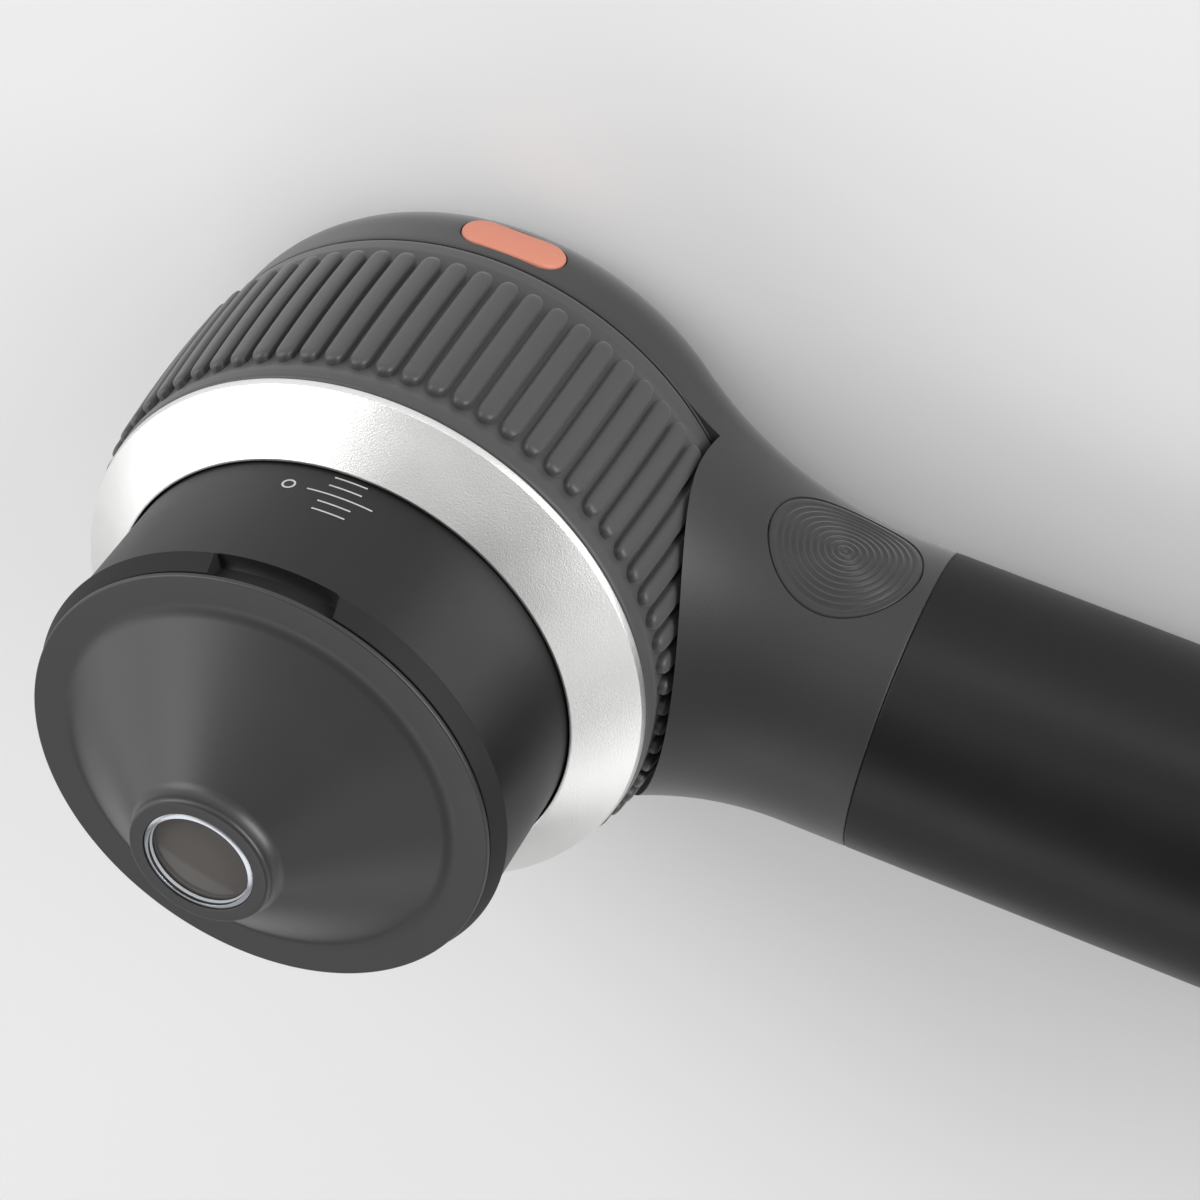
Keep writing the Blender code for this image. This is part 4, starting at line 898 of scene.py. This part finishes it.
def line_tree():
    """Straight printed lines, one longer in the middle, wrapped round a barrel."""
    group, outside, sink = tree(
        "Scale Lines",
        ("Count", "Int"),
        ("Step", "Float"),
        ("Length", "Float"),
        ("Width", "Float"),
        ("Thickness", "Float"),
        ("Radius", "Float"),
        ("Angle", "Float"),
        ("Height", "Float"),
        ("Axis", "Float"),
        ("Material", "Material"),
    )
    index = add(group, "GeometryNodeInputIndex")
    drop = add(group, "ShaderNodeMath", (0, index.outputs[0]), (1, outside.outputs["Step"]), operation="MULTIPLY")
    where = add(group, "ShaderNodeCombineXYZ", (1, drop.outputs[0]))
    points = add(group, "GeometryNodePoints", (0, outside.outputs["Count"]), (1, where.outputs[0]))
    depth = add(group, "ShaderNodeMath", (0, outside.outputs["Thickness"]), operation="MULTIPLY", at1=2.0)
    size = add(
        group,
        "ShaderNodeCombineXYZ",
        (0, outside.outputs["Length"]),
        (1, outside.outputs["Width"]),
        (2, depth.outputs[0]),
    )
    line = add(group, "GeometryNodeMeshCube", (0, size.outputs[0]), at1=17)
    last = add(group, "ShaderNodeMath", (0, outside.outputs["Count"]), operation="SUBTRACT", at1=1.0)
    middle = add(group, "ShaderNodeMath", (0, last.outputs[0]), operation="DIVIDE", at1=2.0)
    is_middle = add(
        group, "ShaderNodeMath", (0, index.outputs[0]), (1, middle.outputs[0]), operation="COMPARE", at2=0.1
    )
    stretch = add(group, "ShaderNodeMath", (0, is_middle.outputs[0]), operation="ADD", at1=1.0)
    scale = add(group, "ShaderNodeCombineXYZ", (0, stretch.outputs[0]), at1=1.0, at2=1.0)
    copies = add(
        group,
        "GeometryNodeInstanceOnPoints",
        (0, points.outputs[0]),
        (2, line.outputs[0]),
        (6, scale.outputs[0]),
    )
    flat = add(group, "GeometryNodeRealizeInstances", (0, copies.outputs[0]))
    here = add(group, "GeometryNodeInputPosition")
    parts = add(group, "ShaderNodeSeparateXYZ", (0, here.outputs[0]))
    radius = add(group, "ShaderNodeMath", (0, outside.outputs["Radius"]), (1, parts.outputs[2]), operation="ADD")
    arc = add(group, "ShaderNodeMath", (0, parts.outputs[0]), (1, outside.outputs["Radius"]), operation="DIVIDE")
    angle = add(group, "ShaderNodeMath", (0, outside.outputs["Angle"]), (1, arc.outputs[0]), operation="SUBTRACT")
    cosine = add(group, "ShaderNodeMath", (0, angle.outputs[0]), operation="COSINE")
    sine = add(group, "ShaderNodeMath", (0, angle.outputs[0]), operation="SINE")
    x = add(
        group,
        "ShaderNodeMath",
        (0, cosine.outputs[0]),
        (1, radius.outputs[0]),
        (2, outside.outputs["Axis"]),
        operation="MULTIPLY_ADD",
    )
    y = add(group, "ShaderNodeMath", (0, sine.outputs[0]), (1, radius.outputs[0]), operation="MULTIPLY")
    z = add(group, "ShaderNodeMath", (0, parts.outputs[1]), (1, outside.outputs["Height"]), operation="ADD")
    target = add(group, "ShaderNodeCombineXYZ", (0, x.outputs[0]), (1, y.outputs[0]), (2, z.outputs[0]))
    bent = add(group, "GeometryNodeSetPosition", (0, flat.outputs[0]), (2, target.outputs[0]))
    outward = add(group, "GeometryNodeFlipFaces", (0, bent.outputs[0]))
    close_tree(group, outward.outputs[0], outside, sink)
    return group


class SCOPE_OT_barrel(Operator):
    """Make the focusing barrel with its notch and its scale"""

    bl_idname = "scope.make_barrel"
    bl_label = "Focus Barrel"

    def execute(self, context):
        front = context.scene.scope_front
        colours = context.scene.scope_colours
        flange = (barrel_high.y - barrel_low.y) / 2
        side = flange - front.barrel_step
        bore = side - front.barrel_wall
        mouth = barrel_high.z
        corners = [
            (bore, mouth, 0.0001),
            (flange - front.flange_taper, mouth, front.flange_round),
            (flange, mouth - front.flange_length, front.flange_round),
            (side, mouth - front.flange_length - front.barrel_step, front.flange_round),
            (side, barrel_low.z, 0.0001),
            (bore, barrel_low.z, 0.0001),
        ]
        tube = piece("barrel_tube", lathe(rounded(corners), 256), satin_black(colours))
        combine(tube, "DIFFERENCE", self.notch(front, side))
        combine(tube, "DIFFERENCE", self.pin_holes(bore, side))
        # The flange faces get the dull copy of the satin black, a painted shade.
        tube.data.materials.append(flange_painted_shade(colours))
        for face in tube.data.polygons:
            if face.center.z > mouth - front.flange_length - front.barrel_step:
                face.material_index = 1
        ride(tube, "barrel", "satin_black", "focus_barrel")
        ink = print_white(colours)
        lines = grown(
            "scale_lines",
            line_tree(),
            ink,
            Count=front.scale_count,
            Step=front.scale_step,
            Length=front.scale_line,
            Width=front.scale_width,
            Thickness=0.00002,
            Radius=side,
            Angle=front.scale_turn,
            Height=trim_high.z + front.scale_first,
            Axis=optical_x,
        )
        ride(lines, "barrel", "satin_black")
        zero = piece("scale_zero", self.zero(front, side), ink)
        ride(zero, "barrel", "satin_black")
        return {"FINISHED"}

    def notch(self, front, side):
        """A wedge with one upright and one slanted end."""
        low = side - front.notch_depth
        high = side + 0.002
        bottom = barrel_high.z - front.notch_length
        rings = []
        for z, slant in ((bottom, 1.5), (bottom + 0.0002, 0.6), (barrel_high.z + 0.001, -1.8)):
            turns = spread(front.notch_start + math.radians(slant), front.notch_end, 24)
            inner = low + (0.0003 if z == bottom else 0)
            ring = [(high * math.cos(a), high * math.sin(a), z) for a in turns]
            rings.append(ring + [(inner * math.cos(a), inner * math.sin(a), z) for a in reversed(turns)])
        return loft(rings)

    def pin_holes(self, bore, side):
        holes = []
        for number in (1, 2, 3):
            low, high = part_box(f"cam_pin_{number}")
            middle = (low + high) / 2
            spin = math.atan2(middle.y, middle.x - optical_x)
            radius = (high.z - low.z) / 2 + 0.0002
            hole = lathe([(0, bore - 0.001), (radius, bore - 0.001), (radius, side + 0.001), (0, side + 0.001)], 32)
            place = Matrix.Rotation(spin, 4, "Z") @ Matrix.Translation((0, 0, middle.z))
            holes.append(moved(hole, place @ Matrix.Rotation(math.pi / 2, 4, "Y")))
        return joined(*holes)

    def zero(self, front, side):
        """A round zero, wrapped on the barrel."""
        rings = []
        steps = 40
        outer = front.zero_size / 2
        stroke = front.scale_width * 1.25
        for size, rise in ((outer, 0), (outer, 0.00002), (outer - stroke, 0.00002), (outer - stroke, 0)):
            ring = []
            for i in range(steps):
                a = 2 * math.pi * i / steps
                spin = front.zero_turn - size * math.cos(a) / side
                z = trim_high.z + front.zero_drop - 0.96 * size * math.sin(a)
                ring.append(((side + rise) * math.cos(spin), (side + rise) * math.sin(spin), z))
            rings.append(ring)
        return loft(rings, closed=True)


class SCOPE_OT_cone(Operator):
    """Make the pull-off cone with its window"""

    bl_idname = "scope.make_cone"
    bl_label = "Contact Cone"

    def execute(self, context):
        front = context.scene.scope_front
        colours = context.scene.scope_colours
        rim = (cone_high.y - cone_low.y) / 2
        base = barrel_high.z + front.cone_seam
        face = base + front.rim_length
        seat = (ring_high.y - ring_low.y) / 2 + front.seat_gap
        floor = window_low.z - 0.0002
        spigot = front.spigot_radius
        bore = spigot - front.cap_wall
        groove = base - (base - cone_low.z) / 2
        half = front.seal_radius + 0.0002
        deep = spigot - 2 * front.seal_radius - 0.0002
        inner_tip = (window_high.y - window_low.y) / 2 - 0.0007
        corners = [
            (seat, cone_high.z, 0.00005),
            (front.tip_radius, cone_high.z, front.tip_round),
            (front.tip_radius, cone_high.z - front.tip_height, front.tip_hollow),
            (front.face_radius, face, front.base_round),
            (rim, face, front.rim_round),
            (rim, base, 0.00008),
            (spigot, base, 0),
            (spigot, groove + half, 0),
            (deep, groove + half, 0),
            (deep, groove - half, 0),
            (spigot, groove - half, 0),
            (spigot, cone_low.z, 0.0002),
            (bore, cone_low.z, 0.0002),
            (bore, face - front.cap_wall / 2, 0.0005),
            (inner_tip, floor - 0.0013, 0.0002),
            (inner_tip, floor, 0),
            (seat, floor, 0),
        ]
        cap = piece("cone_shell", lathe(rounded(corners, 10), 256), cone_grey(colours))
        ride(cap, "cone", "cone_grey", "cone_cap")
        outer = (ring_high.y - ring_low.y) / 2
        inner = outer - front.ring_width
        under = ring_high.z - front.ring_height
        fall = front.ring_slope
        band = [(inner, ring_high.z, 0.00002), (outer, ring_high.z - fall, 0.00002)]
        band += [(outer, under - fall, 0), (inner, under, 0)]
        ring = piece("window_ring", lathe(rounded(band), 160), bright_metal(colours))
        ride(ring, "cone", "satin_aluminium", "window_bezel")
        # A pale bevel inside the window ring paints the crescent highlight on the glass's edge.
        foot = ring_high.z - front.bevel_foot
        slope = [(inner, ring_high.z - front.bevel_top), (inner, foot), (inner - front.bevel_width, foot)]
        bevel = piece("window_bevel", lathe(slope, 160), painted_highlight_edge(colours))
        ride(bevel, "cone", "glass")
        wall = [(inner, under), (outer, under - fall), (outer, ring_low.z), (inner, ring_low.z)]
        collar = piece("window_collar", lathe(wall, 160), cone_grey(colours))
        ride(collar, "cone", "cone_grey")
        radius = inner - front.seat_gap
        pane = [(radius * k, window_high.z - front.window_dome * k * k) for k in spread(0, 1, 8)]
        pane += [(radius, window_low.z), (0, window_low.z)]
        window = piece("window_pane", lathe(pane, 128), window_glass(colours))
        ride(window, "cone", "glass", "tip_window")
        return {"FINISHED"}


class SCOPE_OT_buttons(Operator):
    """Make the round and the pill buttons on both sides"""

    bl_idname = "scope.make_buttons"
    bl_label = "Buttons"

    def execute(self, context):
        shell = context.scene.scope_shell
        buttons = context.scene.scope_buttons
        colours = context.scene.scope_colours
        for word, side in (("left", 1), ("right", -1)):
            disc = to_side(self.power(shell, buttons), side)
            knob = piece(f"power_disc_{word}", disc, soft_black(colours), sharp=50)
            ride(knob, f"power_{word}", "soft_black", f"power_button_{word}")
            pill = to_side(self.boost(shell, buttons), side)
            knob = piece(f"boost_pill_{word}", pill, orange_plastic(colours))
            ride(knob, f"boost_{word}", "orange", f"boost_button_{word}")
        return {"FINISHED"}

    def power(self, shell, buttons):
        """A dished disc with fine rings that follows the side of the neck."""

        def surface(x, z):
            return flank(shell, power_x + x, handle_z + z) - buttons.power_sink

        rounds = 72
        edge = buttons.edge
        pitch = (power_radius - 3 * edge) / buttons.groove_count
        rows = []
        for k in range(1, buttons.groove_count * 10 + 1):
            radius = pitch * k / 10
            ripple = buttons.groove_depth * (0.5 - 0.5 * math.cos(2 * math.pi * radius / pitch)) ** 0.7
            rows.append((radius, ripple))
        rows += [(power_radius - edge * (1 - math.sin(a)), edge * (1 - math.cos(a))) for a in spread(0, math.pi / 2, 5)]
        rings = [[(power_x, surface(0, 0) - buttons.power_dish, handle_z)]]
        for radius, sink in rows:
            inner = min(1.0, radius / (power_radius - edge))
            ring = []
            for i in range(rounds * 2):
                a = math.pi * i / rounds
                x, z = radius * math.cos(a), radius * math.sin(a)
                y = surface(x, z) - sink - buttons.power_dish * (1 - inner * inner)
                ring.append((power_x + x, y, handle_z + z))
            rings.append(ring)
        rings.append([(x, power_floor, z) for x, y, z in rings[-1]])
        rings.append([(power_x, power_floor, handle_z)])
        return loft(rings)

    def boost(self, shell, buttons):
        """A pill that follows the side of the head, with soft edges."""
        count = 24
        edge = buttons.edge * 2.2
        insets = [(0, None)]
        insets += [(edge * (1 - math.cos(a)), edge * (1 - math.sin(a))) for a in spread(0, math.pi / 2, 5)]
        insets += [(inset, 0) for inset in spread(edge, buttons.boost_width / 2 - 0.00002, 7)[1:]]
        rings = []
        for inset, sink in insets:
            ring = []
            for x, z in stadium(buttons.boost_length - 2 * inset, buttons.boost_width - 2 * inset, count):
                top = math.sqrt(side_radius(shell, boost_z + z) ** 2 - x * x) + buttons.boost_proud
                ring.append((x, boost_floor if sink is None else top - sink, boost_z + z))
            rings.append(ring)
        mesh = loft(rings, caps=False)
        mesh.verts.ensure_lookup_table()
        size = 2 * count
        first = list(mesh.verts)[:size]
        last = list(mesh.verts)[-size:]
        mesh.faces.new(first)
        for i in range(count - 1):
            mesh.faces.new((last[i], last[i + 1], last[size - 2 - i], last[size - 1 - i]))
        return mesh


class SCOPE_OT_handle(Operator):
    """Make the handle tube, its end cap and the charging socket"""

    bl_idname = "scope.make_handle"
    bl_label = "Handle"

    def execute(self, context):
        shell = context.scene.scope_shell
        colours = context.scene.scope_colours
        look = handle_black(colours)
        bore = handle_radius - shell.handle_wall
        corners = [
            (bore, sleeve_start, 0),
            (handle_radius, sleeve_start, shell.edge),
            (handle_radius, sleeve_end, shell.edge),
            (bore, sleeve_end, 0),
        ]
        tube = piece("handle_tube", along_handle(lathe(rounded(corners), 192)), look)
        ride(tube, "housing", "soft_black", "handle_sleeve")
        start = sleeve_end + shell.seam
        plug = bore - 0.0003
        inner = plug - shell.spigot_wall
        corners = [
            (handle_radius, handle_end, shell.end_round),
            (handle_radius, start, shell.edge),
            (plug, start, 0),
            (plug, end_cap_tail, 0),
            (inner, end_cap_tail, 0),
            (inner, handle_end - shell.end_floor, 0),
        ]
        outline = rounded([(0, handle_end, 0)] + corners + [(0, handle_end - shell.end_floor, 0)], 10)
        cap = piece("end_plug", along_handle(lathe(outline, 192)), look)
        wide = port_high.y - port_low.y
        tall = port_high.z - port_low.z
        slot = self.slot(wide + 0.0006, tall + 0.0006)
        opening = loft([slot(handle_end - 2 * shell.end_floor), slot(handle_end + shell.end_floor)])
        combine(cap, "DIFFERENCE", opening)
        ride(cap, "housing", "soft_black", "handle_end_cap")
        outer = self.slot(wide, tall)
        lip = self.slot(wide - shell.port_wall * 0.5, tall - shell.port_wall * 0.5)
        hollow = self.slot(wide - 2 * shell.port_wall, tall - 2 * shell.port_wall)
        rings = [outer(port_rear), outer(port_front - 0.0001), lip(port_front), hollow(port_front)]
        socket = piece("socket_shell", loft(rings + [hollow(port_front - shell.port_depth)]), nickel())
        ride(socket, "housing", "nickel", "charge_port")
        return {"FINISHED"}

    def slot(self, wide, tall):
        """Rings of a slot across the handle, by their place along it."""
        outline = stadium(wide, tall, 20)
        return lambda x: [(x, y, handle_z + z) for y, z in outline]


class SCOPE_OT_eyepiece(Operator):
    """Make the eyepiece lens and the ring round it"""

    bl_idname = "scope.make_eyepiece"
    bl_label = "Eyepiece"

    def execute(self, context):
        outer = (eyepiece_high.y - eyepiece_low.y) / 2
        lens = (lens_high.y - lens_low.y) / 2
        bore = lens - 0.0008
        low, high = eyepiece_low.z, eyepiece_high.z
        corners = [
            (bore, high, 0),
            (lens, high, 0),
            (lens, high - 0.0011, 0),
            (outer, high - 0.0011, 0),
            (outer, low, 0.0003),
            (bore + 0.0006, low, 0.0002),
            (bore, low + 0.0006, 0.0002),
        ]
        ring = piece("eyepiece_ring", lathe(rounded(corners), 192), black_metal())
        ride(ring, "housing", "black_metal", "eyepiece_bezel")
        bulge = 0.0016
        steps = spread(0, 1, 20)
        rear = [(lens * k, lens_low.z + bulge * k * k) for k in steps]
        front = [(lens * k, lens_high.z - bulge * k * k) for k in reversed(steps)]
        body = piece("eyepiece_glass", lathe(rear + front, 128), lens_glass())
        ride(body, "housing", "glass", "eyepiece_lens")
        return {"FINISHED"}


class SCOPE_OT_inside(Operator):
    """Give the frame's own pieces their finishes"""

    bl_idname = "scope.finish_inside"
    bl_label = "Inner Pieces"

    def execute(self, context):
        looks = slot_finishes(context.scene.scope_colours)
        for node in frame["nodes"].values():
            slot = node.data.materials[0].name
            node.data.materials.clear()
            node.data.materials.append(looks[slot])
        return {"FINISHED"}


class SCOPE_OT_stage(Operator):
    """Set up the floor, the lights, the surroundings and the camera"""

    bl_idname = "scope.make_stage"
    bl_label = "Stage"

    def execute(self, context):
        stage = context.scene.scope_stage
        target = Vector((optical_x + 0.02, 0, 0.02))
        floor = self.floor(context.scene.scope_colours)
        panels = (
            ("left_panel", (-0.66, 0.0, 0.33), (1.0, 0.6), stage.left),
            ("left_front_panel", (-0.55, 0.4, 0.3), (0.5, 0.4), stage.left_front),
            ("fill_panel", (-0.02, 0.5, 0.54), (0.9, 0.3), stage.fill),
            ("front_strip", (-0.15, 0.73, 0.15), (0.6, 0.2), stage.front),
            ("corner_panel", (0.6, 0.42, 0.14), (0.65, 0.25), stage.corner),
            ("right_panel", (0.6, -0.08, 0.43), (0.5, 0.4), stage.right),
            ("back_right_panel", (0.52, -0.52, 0.15), (0.5, 0.25), stage.back_right),
            ("back_panel", (-0.15, -0.38, 0.64), (0.6, 0.3), stage.back),
            ("back_low_panel", (-0.1, -0.68, 0.3), (0.8, 0.4), stage.back_low),
        )
        lights = [self.light(name, place, target, size, power) for name, place, size, power in panels]
        world = bpy.data.worlds.new("surroundings")
        world.use_nodes = True
        sky = world.node_tree.nodes["Background"]
        sky.inputs["Color"].default_value = (1, 1, 1, 1)
        sky.inputs["Strength"].default_value = stage.sky
        context.scene.world = world
        context.scene.view_settings.view_transform = "Standard"
        self.camera(context.scene)
        return {"FINISHED"}

    def floor(self, colours):
        mesh = bmesh.new()
        bmesh.ops.create_grid(mesh, x_segments=1, y_segments=1, size=6)
        bmesh.ops.translate(mesh, verts=mesh.verts, vec=(-optical_x, 0, -0.00005))
        return piece("studio_floor", mesh, finish("Studio Floor", colours.floor, 0.8, mottle=0.0))

    def light(self, name, place, target, size, power):
        lamp = bpy.data.lights.new(name, "AREA")
        lamp.shape = "RECTANGLE"
        lamp.size, lamp.size_y = size
        lamp.energy = power
        obj = bpy.data.objects.new(name, lamp)
        obj.location = target + Vector(place)
        obj.rotation_euler = (target - obj.location).to_track_quat("-Z", "Y").to_euler()
        bpy.context.scene.collection.objects.link(obj)
        return obj

    def camera(self, scene):
        """The photograph's view, worked out from the head's circles."""
        eye = bpy.data.cameras.new("camera")
        eye.lens = 105.19
        eye.sensor_width = 36
        eye.clip_start = 0.01
        obj = bpy.data.objects.new("camera", eye)
        right = Vector((0.9133, 0.1409, -0.3823)).normalized()
        back = Vector((0.1976, 0.6674, 0.7181)).normalized()
        up = back.cross(right)
        turned = Matrix((right, up, back)).transposed().to_4x4()
        obj.matrix_world = Matrix.Translation((optical_x + 0.06463, 0.17305, 0.19948)) @ turned
        scene.collection.objects.link(obj)
        scene.camera = obj


class SCOPE_PT_panel(Panel):
    """Lists the steps that build the scope"""

    bl_idname = "SCOPE_PT_panel"
    bl_label = "Skin Scope"
    bl_space_type = "VIEW_3D"
    bl_region_type = "UI"
    bl_category = "Skin Scope"

    def draw(self, context):
        for step in STEPS:
            self.layout.operator(step.bl_idname)
        for name in GROUPS:
            box = self.layout.box()
            group = getattr(context.scene, name)
            for key in group.__annotations__:
                box.prop(group, key)


GROUPS = {
    "scope_shell": ScopeShell,
    "scope_dial": ScopeDial,
    "scope_front": ScopeFront,
    "scope_buttons": ScopeButtons,
    "scope_colours": ScopeColours,
    "scope_stage": ScopeStage,
}
STEPS = (
    SCOPE_OT_housing,
    SCOPE_OT_dial,
    SCOPE_OT_trim,
    SCOPE_OT_barrel,
    SCOPE_OT_cone,
    SCOPE_OT_buttons,
    SCOPE_OT_handle,
    SCOPE_OT_eyepiece,
    SCOPE_OT_inside,
    SCOPE_OT_stage,
)


def register():
    for kind in (*GROUPS.values(), *STEPS, SCOPE_PT_panel):
        bpy.utils.register_class(kind)
    for name, kind in GROUPS.items():
        setattr(bpy.types.Scene, name, PointerProperty(type=kind))


def unregister():
    for name in GROUPS:
        delattr(bpy.types.Scene, name)
    for kind in reversed((*GROUPS.values(), *STEPS, SCOPE_PT_panel)):
        bpy.utils.unregister_class(kind)


def main():
    register()
    for step in STEPS:
        family, name = step.bl_idname.split(".")
        getattr(getattr(bpy.ops, family), name)()


if __name__ == "__main__":
    main()
